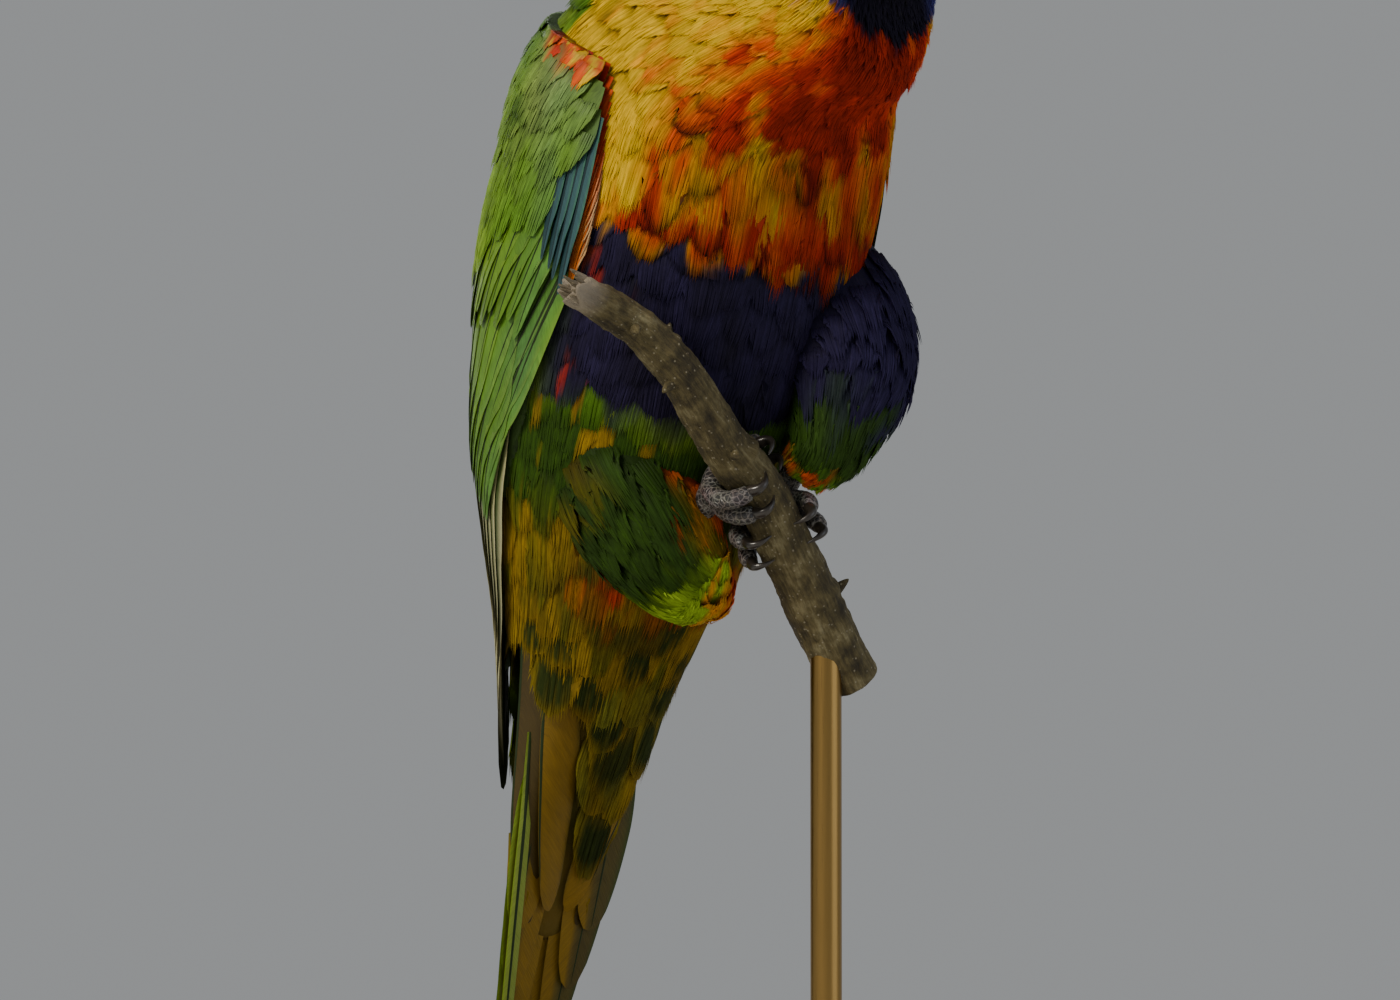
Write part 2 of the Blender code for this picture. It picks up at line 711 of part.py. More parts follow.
def rectrix(turn, pair, layer, material, collection):
    """One tail feather of a pair, its outer edge on the fan's edge."""
    path = []
    sides = []
    widths = []
    tip = TAIL_TIPS[pair]
    for i in range(RECTRIX_STEPS + 1):
        share = i / RECTRIX_STEPS
        along = TAIL_ROOT + (tip - TAIL_ROOT) * share
        edge = smooth_value(TAIL_WIDTHS, along, 1) - TAIL_STEP_IN * (len(TAIL_TIPS) - 1 - pair)
        full = RECTRIX_WIDTH * (1 - RECTRIX_TAPER * share ** 4)
        if pair == 0:
            width = full
            left = TAIL_STEP_IN * turn * (1 - share)
        else:
            width = max(min(full, edge - MIDLINE_GAP), RECTRIX_LEAST)
            left = turn * max(edge - width / 2, width / 2 + MIDLINE_GAP)
        path.append(body_point(left, along, tail_centre(along) + layer))
        sides.append(LEFT.copy())
        widths.append(width * MM)
    return vane("rectrix", path, sides, widths, VANE_THICK, material, collection)


def make_tail(draws, materials, collection):
    """Tail: a core under the coverts, the graduated fan and the coverts' tiers."""
    root = TORSO_BOTTOM - JOINT_GAP / MM
    rings = [body_ring(along, TAIL_SIDES) for along in [root] + TAIL_CORE_PLACES]
    for along, half_width, thick in TAIL_CORE_END:
        centre = body_point(0.0, along, tail_centre(along))
        rings.append(section_ring(centre, LEFT, FRONT, (half_width, thick, thick), TAIL_SIDES))
    green = materials["plumage_green"]
    tail = loft("tail", rings, green, collection)
    vanes = []
    middle = len(TAIL_TIPS) / 2
    for pair in range(len(TAIL_TIPS)):
        for turn in (1, -1):
            layer = (pair + 1 - middle) * TAIL_LAYER
            if pair == 0 and turn > 0:
                layer -= TAIL_LAYER
            vanes.append(rectrix(turn, pair, layer, green, collection))
    for count, root, tip, first, last, widest, lift in COVERT_TIERS:
        for i in range(count):
            angle = spread(first, last, i, count)
            reach = tip + draws.uniform(-VANE_STRETCH, VANE_STRETCH)
            lifts = (-1.0, lift, lift + COVERT_RISE)
            vanes.append(surface_vane(
                "covert", (root, angle), (reach, angle), widest, lifts, COVERT_STEPS, 1, green, collection
            ))
    join_pieces(tail, vanes)
    return tail


def perch_point(left, front, up):
    return BODY_PIVOT + Vector((left, -front, up)) * MM


def make_perch(draws, materials, collection):
    """Cut length of branch with its prickles and the snag at its broken end."""
    route = [perch_point(*point) for point in PERCH_ROUTE]
    points = spline_points(route, PERCH_STEPS)
    rows = [(float(i), radius) for i, radius in enumerate(PERCH_RADII)]
    last = PERCH_STEPS - 1
    radii = []
    for i in range(PERCH_STEPS):
        swell = 1 + draws.uniform(-PERCH_SWELL, PERCH_SWELL)
        radii.append(smooth_value(rows, (len(rows) - 1) * i / last, 1) * swell * MM)
    bark = materials["bark"]
    perch = tube("perch_branch", points, radii, bark, collection, 3)
    thorns = []
    for place, angle in PRICKLES:
        frame = perch_frame(place)
        turned = math.radians(angle)
        foot = toe_spot(frame, turned, 0.0, -PRICKLE_ROOT)
        tip = toe_spot(frame, turned, -PRICKLE_LENGTH * 0.3, PRICKLE_LENGTH)
        spots = [foot.lerp(tip, share) for share, _ in PRICKLE_TAPER]
        radii = [PRICKLE_ROOT * size for _, size in PRICKLE_TAPER]
        thorns.append(tube("prickle", spots, radii, bark, collection, 1))
    frame = perch_frame(0.0)
    snag = [toe_spot(frame, SNAG_ANGLE, reach * MM, lift * MM) for reach, lift in SNAG]
    thorns.append(tube("snag", snag, SNAG_RADII, bark, collection, 1))
    join_pieces(perch, thorns)
    return perch


def perch_frame(place):
    """Centre, direction down the branch, way to the bird, upper side, radius."""
    rows = [(float(i), *perch_point(*point)) for i, point in enumerate(PERCH_ROUTE)]
    radii = [(float(i), radius) for i, radius in enumerate(PERCH_RADII)]
    here = Vector([smooth_value(rows, place, axis) for axis in (1, 2, 3)])
    ahead = Vector([smooth_value(rows, place + 0.1, axis) for axis in (1, 2, 3)])
    down = (ahead - here).normalized()
    inward = Vector((0.0, 1.0, 0.0))
    inward = (inward - down * inward.dot(down)).normalized()
    return here, down, inward, down.cross(inward), smooth_value(radii, place, 1) * MM


def make_leg(turn, cutters, materials, collection):
    """Feathered thigh: a swelling of the flank that narrows to the shank."""
    rows = LEGS[turn]
    last = LEG_STEPS - 1
    centres = spline_points([body_point(*row[:3]) for row in rows], LEG_STEPS)
    sizes = [(float(i), row[3]) for i, row in enumerate(rows)]
    rings = []
    for index, centre in enumerate(centres):
        ahead = (centres[min(index + 1, last)] - centres[max(index - 1, 0)]).normalized()
        side = (LEFT - ahead * LEFT.dot(ahead)).normalized()
        radius = smooth_value(sizes, (len(rows) - 1) * index / last, 1)
        sizes_here = (radius, radius, radius)
        rings.append(section_ring(centre, side, side.cross(ahead), sizes_here, LEG_SIDES))
    name = "leg_left" if turn > 0 else "leg_right"
    leg = loft(name, rings, materials["plumage_green"], collection)
    for cutter in cutters:
        cut_away(leg, cutter)
    return leg


def toe_spot(frame, turned, along, lift):
    """Place round the branch at an angle from the bird's side towards its top."""
    here, down, inward, over, radius = frame
    reach = radius + lift
    return here + down * along + (inward * math.cos(turned) + over * math.sin(turned)) * reach


def make_toe(name, frame, begin, reach, offset, materials, collection):
    """Toe bent round the branch from the sole, tapering to its claw."""
    points = []
    radii = []
    for i in range(TOE_STEPS):
        share = i / (TOE_STEPS - 1)
        size = TOE_RADIUS * (1 - TOE_TAPER * share)
        angle = math.radians(begin + reach * share)
        along = offset * (0.55 + 0.45 * share)
        points.append(toe_spot(frame, angle, along, size + BARK_GAP))
        radii.append(size)
    return tube(name, points, radii, materials["skin"], collection)


def make_foot(side_name, materials, collection):
    """Shank, sole and two toes each way round the branch, with their claws."""
    place, palm_angle, reach_over, reach_under, heel = FEET[side_name]
    frame = perch_frame(place)
    palm = toe_spot(frame, math.radians(palm_angle), 0.0, TOE_RADIUS + JOINT_GAP + 0.4 * MM)
    heel_point = body_point(*heel)
    shank = [heel_point.lerp(palm, share) for share in (0.0, 0.5, 1.0)]
    radii = [SHANK_RADIUS, SHANK_RADIUS * 0.9, SHANK_RADIUS * 1.15]
    foot = tube("foot_" + side_name, shank, radii, materials["skin"], collection)
    toes = []
    reaches = (
        (reach_over, -TOE_SPREAD), (reach_over * 0.9, TOE_SPREAD),
        (reach_under, -TOE_SPREAD), (reach_under * 0.86, TOE_SPREAD),
    )
    for number, (reach, offset) in enumerate(reaches, start=1):
        turn = math.copysign(1.0, reach)
        begin = palm_angle - turn * TOE_START
        full = reach + turn * TOE_START
        mark = "%s_%d" % (side_name, number)
        toes.append(make_toe("toe_" + mark, frame, begin, full, offset, materials, collection))
        make_claw("claw_" + mark, frame, begin + full, turn, offset, materials, collection)
    join_pieces(foot, toes)
    return foot


def make_claw(name, frame, start_angle, turn, along, materials, collection):
    """Claw curving on from a toe's end and down to the bark."""
    points = []
    radii = []
    for i in range(CLAW_STEPS):
        share = i / (CLAW_STEPS - 1)
        angle = math.radians(start_angle + turn * (CLAW_GAP_TURN + CLAW_TURN * share))
        size = CLAW_RADIUS * (1 - 0.86 * share)
        arch = CLAW_ARCH * math.sin(math.pi * min(share * 1.1, 1.0)) * (1 - share * 0.4)
        lift = size + JOINT_GAP + arch + 0.5 * MM * (1 - share)
        points.append(toe_spot(frame, angle, along, lift))
        radii.append(size)
    return tube(name, points, radii, materials["claw"], collection, 1)


def upright(name, radius, bottom, top, place, material, collection, sides):
    shape = bmesh.new()
    bmesh.ops.create_cone(
        shape, cap_ends=True, segments=sides, radius1=radius, radius2=radius, depth=top - bottom
    )
    bmesh.ops.translate(shape, verts=shape.verts[:], vec=(place.x, place.y, (bottom + top) / 2))
    mesh = bpy.data.meshes.new(name)
    shape.to_mesh(mesh)
    shape.free()
    return link_mesh(name, mesh, material, collection)


def make_stand(perch, materials, collection, guides):
    """Flat round base and one rod up to the lower end of the perch."""
    base = upright(
        "stand_base", BASE_RADIUS, 0.0, BASE_HEIGHT, Vector(), materials["wood"], collection, BASE_SIDES
    )
    bevel = base.modifiers.new("rounded_rim", "BEVEL")
    bevel.width = BASE_BEVEL
    bevel.segments = 2
    bevel.limit_method = "ANGLE"
    end = perch_frame(ROD_PLACE)[0]
    foot = BASE_HEIGHT + JOINT_GAP
    brass = materials["brass"]
    rod = upright("stand_rod", ROD_RADIUS, foot, end.z, end, brass, collection, ROD_SIDES)
    cut_away(rod, grown_copy(perch, guides))


def make_materials():
    materials = {}
    for name, (colour, roughness) in COLOURS.items():
        material = bpy.data.materials.new(name)
        material.use_nodes = True
        shader = material.node_tree.nodes["Principled BSDF"]
        shader.inputs["Base Color"].default_value = colour
        shader.inputs["Roughness"].default_value = roughness
        shader.inputs["Metallic"].default_value = 1.0 if name == "brass" else 0.0
        materials[name] = material
    return materials


def main():
    for thing in list(bpy.data.objects):
        bpy.data.objects.remove(thing)
    draws = random.Random(7)
    collection = bpy.data.collections.new("rainbow_lorikeet")
    bpy.context.scene.collection.children.link(collection)
    guides = bpy.data.collections.new("cutters")
    bpy.context.scene.collection.children.link(guides)
    materials = make_materials()
    frames = neck_frames()
    torso = make_torso(frames, materials, collection)
    neck, head = make_neck_and_head(frames, materials, collection)
    make_face(head, materials, collection, guides)
    tail = make_tail(draws, materials, collection)
    body_cutters = [grown_copy(thing, guides) for thing in (torso, tail)]
    perch = make_perch(draws, materials, collection)
    for turn, side_name in ((1, "left"), (-1, "right")):
        wing = make_wing(turn, body_cutters, draws, materials, collection)
        wing_cutter = grown_copy(wing, guides)
        leg = make_leg(turn, body_cutters + [wing_cutter], materials, collection)
        foot = make_foot(side_name, materials, collection)
        cut_away(foot, grown_copy(leg, guides))
    make_stand(perch, materials, collection, guides)


main()
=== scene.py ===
"""Looks of a life-size rainbow lorikeet that grips a cut branch on a display stand.

Lengths in the tables are millimetres in the bird's own axes: along the body
from tail to head, in front of that axis, and to the bird's left. Angles go
round the body from the middle of the belly, in degrees.
"""

import math

import bpy
import numpy as np
from mathutils import Matrix, Vector
from mathutils.kdtree import KDTree


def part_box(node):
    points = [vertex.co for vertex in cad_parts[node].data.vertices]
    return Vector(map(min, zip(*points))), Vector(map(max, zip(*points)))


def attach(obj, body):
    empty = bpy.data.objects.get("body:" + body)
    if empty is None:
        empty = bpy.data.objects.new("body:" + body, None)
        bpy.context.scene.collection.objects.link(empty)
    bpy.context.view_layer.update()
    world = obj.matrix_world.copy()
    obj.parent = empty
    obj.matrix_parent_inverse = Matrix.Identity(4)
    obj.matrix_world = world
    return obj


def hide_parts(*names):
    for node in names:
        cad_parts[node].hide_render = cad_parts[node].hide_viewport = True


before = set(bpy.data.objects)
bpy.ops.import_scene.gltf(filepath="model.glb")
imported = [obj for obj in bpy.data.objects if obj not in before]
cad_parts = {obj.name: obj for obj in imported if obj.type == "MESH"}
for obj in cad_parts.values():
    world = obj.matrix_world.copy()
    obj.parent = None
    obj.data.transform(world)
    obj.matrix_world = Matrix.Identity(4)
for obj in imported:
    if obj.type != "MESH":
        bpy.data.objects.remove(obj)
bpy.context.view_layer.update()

MM = 0.001
SEED = 11

# The two sides of the bird, by the sign of left
SIDES = {1: "left", -1: "right"}

# Pose of the body, from which every place on the bird follows
BODY_PITCH = math.radians(67.0)
PIVOT = np.array([0.0, 25.0, 160.0])
UP_BODY = np.array([0.0, -math.cos(BODY_PITCH), math.sin(BODY_PITCH)])
FRONT = np.array([0.0, -math.sin(BODY_PITCH), -math.cos(BODY_PITCH)])
LEFT = np.array([1.0, 0.0, 0.0])

# Body sections: along the axis, centre in front of it, half width, reach of
# the belly side, reach of the back
BODY_SECTIONS = [
    (-66.0, 9.0, 12.5, 5.0, 4.0), (-47.0, 6.5, 14.5, 10.5, 8.5), (-28.0, 4.0, 18.0, 17.0, 13.5),
    (-13.0, 1.5, 22.5, 24.0, 17.0), (0.0, 0.0, 26.5, 27.0, 20.5), (15.0, 0.0, 29.5, 29.5, 25.0),
    (30.0, 0.0, 32.0, 32.5, 28.0), (45.0, 0.0, 33.0, 34.5, 29.5), (60.0, 0.0, 33.0, 34.5, 29.5),
    (75.0, 0.5, 32.6, 33.5, 29.5), (84.0, 1.0, 31.2, 33.0, 28.0),
]
SECTION_POWER = 2.4

# Neck sections: left, along, in front, half width, throat, nape, lean in degrees
NECK_SECTIONS = [
    (0.4, 84.0, 1.5, 31.2, 33.0, 28.8, 8.0), (1.2, 93.0, 5.0, 28.6, 30.0, 26.8, 18.0),
    (2.5, 102.0, 11.0, 25.4, 28.0, 24.5, 30.0), (4.4, 111.5, 19.5, 22.4, 27.0, 23.0, 43.0),
    (6.0, 121.0, 27.5, 19.4, 24.5, 20.5, 56.0),
]
HEAD_CENTRE = (7.4, 130.0, 34.5)
HEAD_YAW = math.radians(24.0)
HEAD_PITCH = math.radians(-9.0)

# Head sections: forward of its centre, half width, throat, crown
HEAD_SECTIONS = [
    (0.0, 16.8, 19.6, 18.0), (5.0, 16.0, 17.8, 17.2), (9.5, 14.4, 15.4, 15.2),
    (13.0, 11.8, 13.6, 12.2), (15.6, 8.6, 11.6, 9.0), (17.2, 5.2, 9.4, 5.6),
]

# Bill: forward, down of its upper line, of its lower line, half width, and how
# far the lower line lies behind the upper
BILL_UPPER = [
    (12.0, -6.2, 3.4, 5.8, 0.0), (16.0, -7.4, 3.6, 5.8, 0.0), (20.6, -6.8, 4.2, 5.5, 0.4),
    (25.0, -4.2, 5.6, 4.8, 1.6), (28.4, 0.2, 8.2, 3.8, 3.6), (30.0, 6.0, 11.6, 2.4, 3.4),
    (29.7, 13.0, 14.2, 0.5, 0.6),
]
BILL_LOWER = [
    (11.0, 4.2, 10.8, 5.0, 0.0), (15.0, 4.3, 11.8, 4.9, 0.0), (18.8, 4.9, 12.2, 4.4, 0.0),
    (22.0, 6.6, 11.6, 3.4, 0.0), (24.4, 9.2, 10.8, 1.6, 0.0),
]
EYE_FORWARD = 6.0
EYE_UP = 3.5
EYE_OUT = 12.0
EYE_RADIUS = 4.3
LID_HEIGHT = 2.75
LID_REACH = 3.75
LID_THICKNESS = 0.5

# Angles from the gaze where the pupil, the iris and the cornea's bulge end
PUPIL_EDGE = 19.5
IRIS_EDGE = 41.0
CORNEA_SPREAD = 34.0

# Ring of bare skin round the eye: reach from its middle and height along its gaze
EYE_RING = [(3.6, 2.3), (4.0, 2.2), (4.35, 1.7), (4.55, 0.8), (4.6, -0.6), (4.3, -2.0), (3.4, -1.6)]
NOSTRIL_PLACE = (18.0, 4.3, -4.6)
NOSTRIL_RADIUS = 1.05
NOSTRIL_DEPTHS = [0.1, -0.3, -0.7]
NOSTRIL_HOLE = 0.85
NOSTRIL_RIM = 0.4

# The bill's horn: how its layers stretch the pattern of ridges, and their height
HORN_LAYERS = np.array([0.5, 0.5, 2.0])
HORN_RIDGE = 0.05

# Cere: rings of the upper bill that it covers
CERE_START = 8
CERE_END = 19

# Tail: half width of the fan by place along the axis, and tips from the middle
TAIL_LINE_START = -66.0
TAIL_LINE_DROP = 0.09
TAIL_WIDTHS = [
    (-147.0, 1.4), (-134.0, 4.0), (-122.0, 6.0), (-105.0, 8.9), (-85.0, 11.8), (-66.0, 13.9),
    (-48.0, 13.9),
]
TAIL_TIPS = [-146.0, -135.0, -123.0, -111.0, -99.0, -87.0]
TAIL_LAYER = 0.93
TAIL_HALF_ROOT = 13.9
TAIL_VANE = 11.4
TAIL_ROOT_ROW = 8.0

# Pale edge of one more feather of the tail's right side: tip along the axis,
# left of its root and of its tip, lift and width
TAIL_EDGING = (-134.0, -13.4, -4.6, 3.3, 3.2)

# Sections of the coverts that run on over and under the tail's root
TAIL_COVER_SECTIONS = [(-90.0, 11.0, 7.0, 2.2, 1.8), (-78.0, 10.1, 10.0, 3.6, 2.8)]

# Legs: left, along, in front and radius, from hip to shank
LEGS = {
    1: [
        (19.0, 51.0, 13.0, 14.0), (21.4, 42.0, 23.5, 15.0), (22.2, 32.0, 31.0, 13.0),
        (18.4, 22.0, 37.0, 7.0),
    ],
    -1: [
        (-14.0, 18.0, 8.0, 11.0), (-11.5, 8.0, 15.5, 14.0), (-5.5, -2.5, 24.5, 12.0),
        (1.5, -10.5, 31.0, 6.0),
    ],
}

# Where the thigh's feathers close: share of the way from hock to sole, and radius
CUFF_SHARE = 0.42
CUFF_RADIUS = 3.4

# Feet: place on the branch, angle of the sole, reach of the toes over and
# under the branch, and the heel's place in the leg
FEET = {
    1: (4.75, 30.0, 106.0, -112.0, (18.0, 20.0, 32.0)),
    -1: (3.8, -30.0, 112.0, -106.0, (-2.0, -4.0, 26.0)),
}
SOLE_LIFT = 0.7
SHANK_RADIUS = 2.6
SHANK_BANDS = 9
TOE_RADIUS = 2.2
TOE_SPREAD = 2.6
TOE_START = 12.0
TOE_TAPER = 0.24
TOE_PADS = 3.1
TOE_SCUTES = 13
CLAW_RADIUS = 1.15
CLAW_TURN = 44.0
CLAW_ARCH = 1.5
BARK_GAP = 0.35

# Perch: points along the branch, left, in front of the pivot and above it, and radius
PERCH_ROUTE = [
    (-46.0, 51.0, 31.5, 3.4), (-31.0, 49.0, 25.5, 3.9), (-20.0, 49.0, 16.5, 4.3), (-8.4, 45.0, 5.5, 4.8),
    (3.0, 41.5, -3.2, 5.1), (11.5, 39.0, -13.6, 5.4), (20.8, 36.0, -25.0, 5.6), (31.0, 33.0, -38.0, 5.8),
]
PERCH_STEPS = 260
PERCH_SIDES = 72
TORN_STEPS = 6
SPLINTERS = 14

# Prickles of the branch, place along it and angle round it, and places of knots
PRICKLES = [(0.9, 210.0), (1.5, 75.0), (1.9, 255.0), (2.6, 60.0), (3.1, 205.0), (5.9, 120.0)]
KNOTS = [1.55, 3.35, 5.8]

# Base and rod of the stand: roundings, and steps of the rod's collar
BASE_RIM = 2.5
COLLAR_STEPS = [(3.2, 1.6), (2.3, 2.5), (0.4, 3.0), (0.0, 3.4)]
ROD_BEVEL = 0.4
ROD_IN_PERCH = 1.5

# Folded wing: its upper and lower ends, and the angles between which it lies
WING_TOP = 86.0
WING_END = -66.0
WING_SIDE_START = 52.0
WING_SIDE_END = 184.0

# Front edge of the folded wing: place along the body and angle
WING_EDGE_FRONT = [
    (-66.0, 124.0), (-40.0, 108.0), (-10.0, 90.0), (10.0, 81.0), (25.0, 74.0), (45.0, 72.0),
    (60.0, 72.0), (70.0, 74.0), (78.0, 79.0), (86.0, 92.0),
]
WING_BACK = 167.0
WING_CORE_BACK = 164.0

# Small coverts: place of the tips at the front edge, how much lower they lie
# at the back, feathers in the row, width, length, lift at root and tip
COVERT_ROWS = [
    (50.0, 20.0, 12, 9.6, 21.0, 2.2, 3.1), (54.0, 18.0, 13, 9.6, 19.0, 2.3, 3.2),
    (58.0, 16.0, 13, 9.4, 17.0, 2.4, 3.2), (62.0, 13.0, 13, 9.0, 15.0, 2.4, 3.3),
    (65.5, 10.0, 14, 8.6, 13.0, 2.5, 3.5), (68.5, 8.0, 15, 8.0, 12.0, 2.6, 3.7),
    (71.5, 6.0, 16, 7.6, 11.0, 2.7, 3.9), (74.5, 4.0, 17, 7.0, 10.0, 2.5, 3.9),
    (77.5, 2.0, 17, 6.4, 8.8, 2.1, 3.6), (80.6, 0.0, 17, 5.8, 7.8, 1.5, 3.0),
    (83.4, 0.0, 16, 5.2, 7.0, 0.8, 2.2), (85.6, 0.0, 15, 4.8, 6.4, 0.2, 1.3),
]

# Angle from the front edge to the first covert, in rows below and above a place
COVERT_START_LOW = 14.0
COVERT_START_HIGH = 6.5
COVERT_START_CHANGE = 60.0

# Bright strip of the underwing along the front edge: feathers, first and last place
STRIP = (15, 84.0, 53.0)

# Feathers of the trunk by station: pitch along and across, length and width,
# depth of the coat, and how far loose barbs stand past the tips
TRUNK_TRACT = [
    (-90.0, 11.0, 8.0, 26.0, 11.0, 1.0, 0.8), (-60.0, 10.5, 9.5, 28.0, 13.5, 1.4, 1.0),
    (-34.0, 9.0, 9.0, 26.0, 13.5, 1.8, 1.6), (-6.0, 6.2, 6.8, 19.0, 11.0, 2.0, 2.4),
    (40.0, 5.6, 6.2, 15.0, 11.0, 1.6, 1.6), (70.0, 5.2, 5.8, 13.0, 10.4, 1.5, 1.3),
    (95.0, 4.4, 4.8, 11.5, 8.6, 1.4, 1.3), (112.0, 3.5, 3.8, 9.5, 6.0, 1.3, 1.3),
    (126.0, 2.4, 2.5, 7.4, 3.8, 1.05, 1.0), (142.0, 1.6, 1.7, 5.0, 2.4, 0.8, 0.7),
    (152.0, 1.2, 1.3, 3.2, 1.7, 0.55, 0.4), (160.0, 1.0, 1.1, 2.2, 1.3, 0.45, 0.3),
]

# Borders between the regions of the coat: stations, and angle from belly to back
HEAD_FROM = 143.0
NAPE_FROM = 126.0
BREAST_FROM = 56.0
BELLY_FROM = 4.0
FLANK_ANGLE = 98.0

# Depth of the skin under the coat, by station
SKIN_DEPTH = [(-66.0, 1.6), (0.0, 2.1), (80.0, 2.1), (118.0, 1.5), (140.0, 1.0), (160.0, 0.8)]

# Flat core of the tail: along the axis, half width and half thickness
TAIL_CORE = np.array([
    (-60.0, 12.0, 4.0), (-66.0, 11.5, 3.4), (-72.0, 10.0, 2.6), (-80.0, 7.0, 2.0), (-88.0, 4.0, 1.4),
])

# How far round the tail's root its coverts reach: place of their tips, angle on
# the bird's right and on its left
COVERT_REACH = [
    (-90.0, -2.0, 16.0), (-78.0, 4.0, 26.0), (-66.0, 16.0, 46.0), (-50.0, 52.0, 80.0),
    (-40.0, 72.0, 96.0), (-30.0, 112.0, 112.0),
]
COVERT_SIDE = 112.0

# Webs of the tail's outer feathers beside the coverts: place and angle of root
# and of tip, width and dye
UNDERTAIL_WEBS = [
    (-22.0, 84.0, -86.0, 44.0, 8.0, "tail_brown"), (-26.0, 60.0, -83.0, 12.0, 8.6, "tail_yellow"),
]

# Patches of the bake map: size of a small feather's, and how far aside its lower
# face lies; then size, start and aside of a long feather's in its own cell
SMALL_PATCH = np.array([0.0007, 0.003])
SMALL_ASIDE = 0.0016
LONG_PATCH = np.array([0.21, 0.94])
LONG_START = np.array([0.26, 0.03])
LONG_ASIDE = 0.48

# Grids on which feathers lie: the tail's upper and lower ends and half width,
# columns of the trunk, columns and rows of a thigh
TAIL_TOP = -40.0
TAIL_END = -150.0
TAIL_HALF = 20.0
TRUNK_COLUMNS = 150
LEG_COLUMNS = 60
LEG_ROWS = 60

# Places along a feather of the stations of its strands and of its shaft, and the
# strand's width there
STRAND_PLACES = np.array([0.34, 0.6, 0.82, 1.0])
STRAND_WIDTHS = np.array([0.8, 1.0, 0.72, 0.0])
SHAFT_PLACES = np.linspace(0.0, 0.985, 14)

# Section of a sliver: places across it and heights, in its own width
SLIVER_ACROSS = np.array([-0.5, 0.0, 0.5])
SLIVER_HEIGHT = np.array([-0.04, 0.3, -0.04])

# Steps across and along a feather and its strands, where they differ from the rest
FEATHER_DETAIL = {"head_feathers": (4, 4, 5), "nape_feathers": (4, 4, 7), "back_feathers": (8, 5, 20)}
BODY_DETAIL = (8, 5, 28)

# Barbs of a long feather: how much they slant, and their spread on the barb map
BARB_SLANT = 1.3
BARB_SPREAD = 1.5

# Refraction of keratin, of which feathers, scales and horn are made
KERATIN_IOR = 1.54

# Camera: the photograph's angle, its scale, and where the pivot stands in it
CAMERA_AZIMUTH = math.radians(-36.0)
CAMERA_ELEVATION = math.radians(-4.0)
PIXELS_PER_MM = 5.2
IMAGE_WIDTH = 1400
PIVOT_IN_VIEW = (-15.9, 3.0)
CAMERA_DISTANCE = 1800.0
SENSOR = 36.0

# Studio lights: name, place, size, power and colour; place and size in metres
LIGHTS = [
    ("key", (-0.98, -0.24, 0.86), 0.36, 11.0, "#fff5e6"),
    ("fill", (0.6, -1.0, 0.35), 0.9, 2.2, "#eef2ff"),
    ("rim", (0.25, 0.85, 0.6), 0.6, 3.0, "#ffffff"),
]
LIGHT_AIM = Vector((0.0, 0.0, 0.165))
FLOOR_HALF = 6000.0
FLOOR_DROP = 0.2


def hex_colour(text):
    """Linear colour of an sRGB hex value."""
    values = np.array([int(text[i : i + 2], 16) / 255 for i in (1, 3, 5)])
    return np.where(values <= 0.04045, values / 12.92, ((values + 0.055) / 1.055) ** 2.4)


# The pale greyish green of the wing is a painted sheen of light.
# The vent's yellow is partly painted shade: it is darker than the vent's own yellow, as if in shadow, and the
# thighs and tail share it.
DYE = {name: hex_colour(text) for name, text in {
    "green": "#5f8c1e", "green_dark": "#2f4a12", "green_deep": "#20320f", "green_blue": "#4b8a58",
    "green_pale": "#a2ba48", "green_sheen": "#8b9b58", "olive": "#6f7022", "teal": "#35575c",
    "teal_dark": "#1c3238", "yellow": "#d8b000", "gold": "#d38e00", "orange": "#d95404",
    "red": "#b42a04", "red_deep": "#7c1a05", "navy": "#262140", "navy_dark": "#191627",
    "violet": "#35307a", "blue": "#2c4bb0", "blue_pale": "#86a6ec", "collar": "#a9c63a",
    "vent_yellow_shaded": "#8f7208", "vent_orange": "#94480a", "tail_yellow": "#86680a",
    "tail_brown": "#4c3e14", "black": "#14130f", "dusk": "#2c2c22", "cream": "#c9c592",
    "leaf": "#95b62a", "spot": "#2b3510", "bill": "#d24313", "bill_tip": "#e8952f",
    "bill_root": "#9c2a0c", "pupil": "#050404", "iris": "#7a1406", "iris_fibre": "#d8481a",
    "eye_rim": "#1c0f0b",
}.items()}


def curves(rows, places):
    """Reads a table as smooth curves through its rows, at many places at once."""
    table = np.array(rows, float)
    knots = table[:, 0]
    values = table[:, 1:]
    places = np.clip(np.asarray(places, float), knots[0], knots[-1])
    slopes = np.empty_like(values)
    slopes[1:-1] = (values[2:] - values[:-2]) / (knots[2:] - knots[:-2])[:, None]
    slopes[0] = (values[1] - values[0]) / (knots[1] - knots[0])
    slopes[-1] = (values[-1] - values[-2]) / (knots[-1] - knots[-2])
    index = np.clip(np.searchsorted(knots, places, side="right") - 1, 0, len(knots) - 2)
    span = (knots[index + 1] - knots[index])[..., None]
    share = (places - knots[index])[..., None] / span
    cube = share ** 3
    square = share ** 2
    return (
        (2 * cube - 3 * square + 1) * values[index] + (cube - 2 * square + share) * slopes[index] * span
        + (3 * square - 2 * cube) * values[index + 1] + (cube - square) * slopes[index + 1] * span
    )


def unit(vectors):
    """Vectors of the same direction, one millimetre long."""
    return vectors / np.maximum(np.linalg.norm(vectors, axis=-1, keepdims=True), 1e-9)


def ramp(value, low, high):
    """Smooth step from 0 at low to 1 at high."""
    share = np.clip((np.asarray(value, float) - low) / (high - low), 0, 1)
    return share * share * (3 - 2 * share)


def fall(value, low, high):
    """Smooth step from 1 at low to 0 at high."""
    return 1 - ramp(value, low, high)


def hump(value, middle, width):
    """Smooth hill of height 1 at a middle value."""
    return np.exp(-(((value - middle) / width) ** 2))


def whole(value):
    """Keeps a weight between 0 and 1."""
    return np.clip(value, 0, 1)


def dyed(colour):
    """A colour as it is, or the dye of that name."""
    return DYE[colour] if isinstance(colour, str) else colour


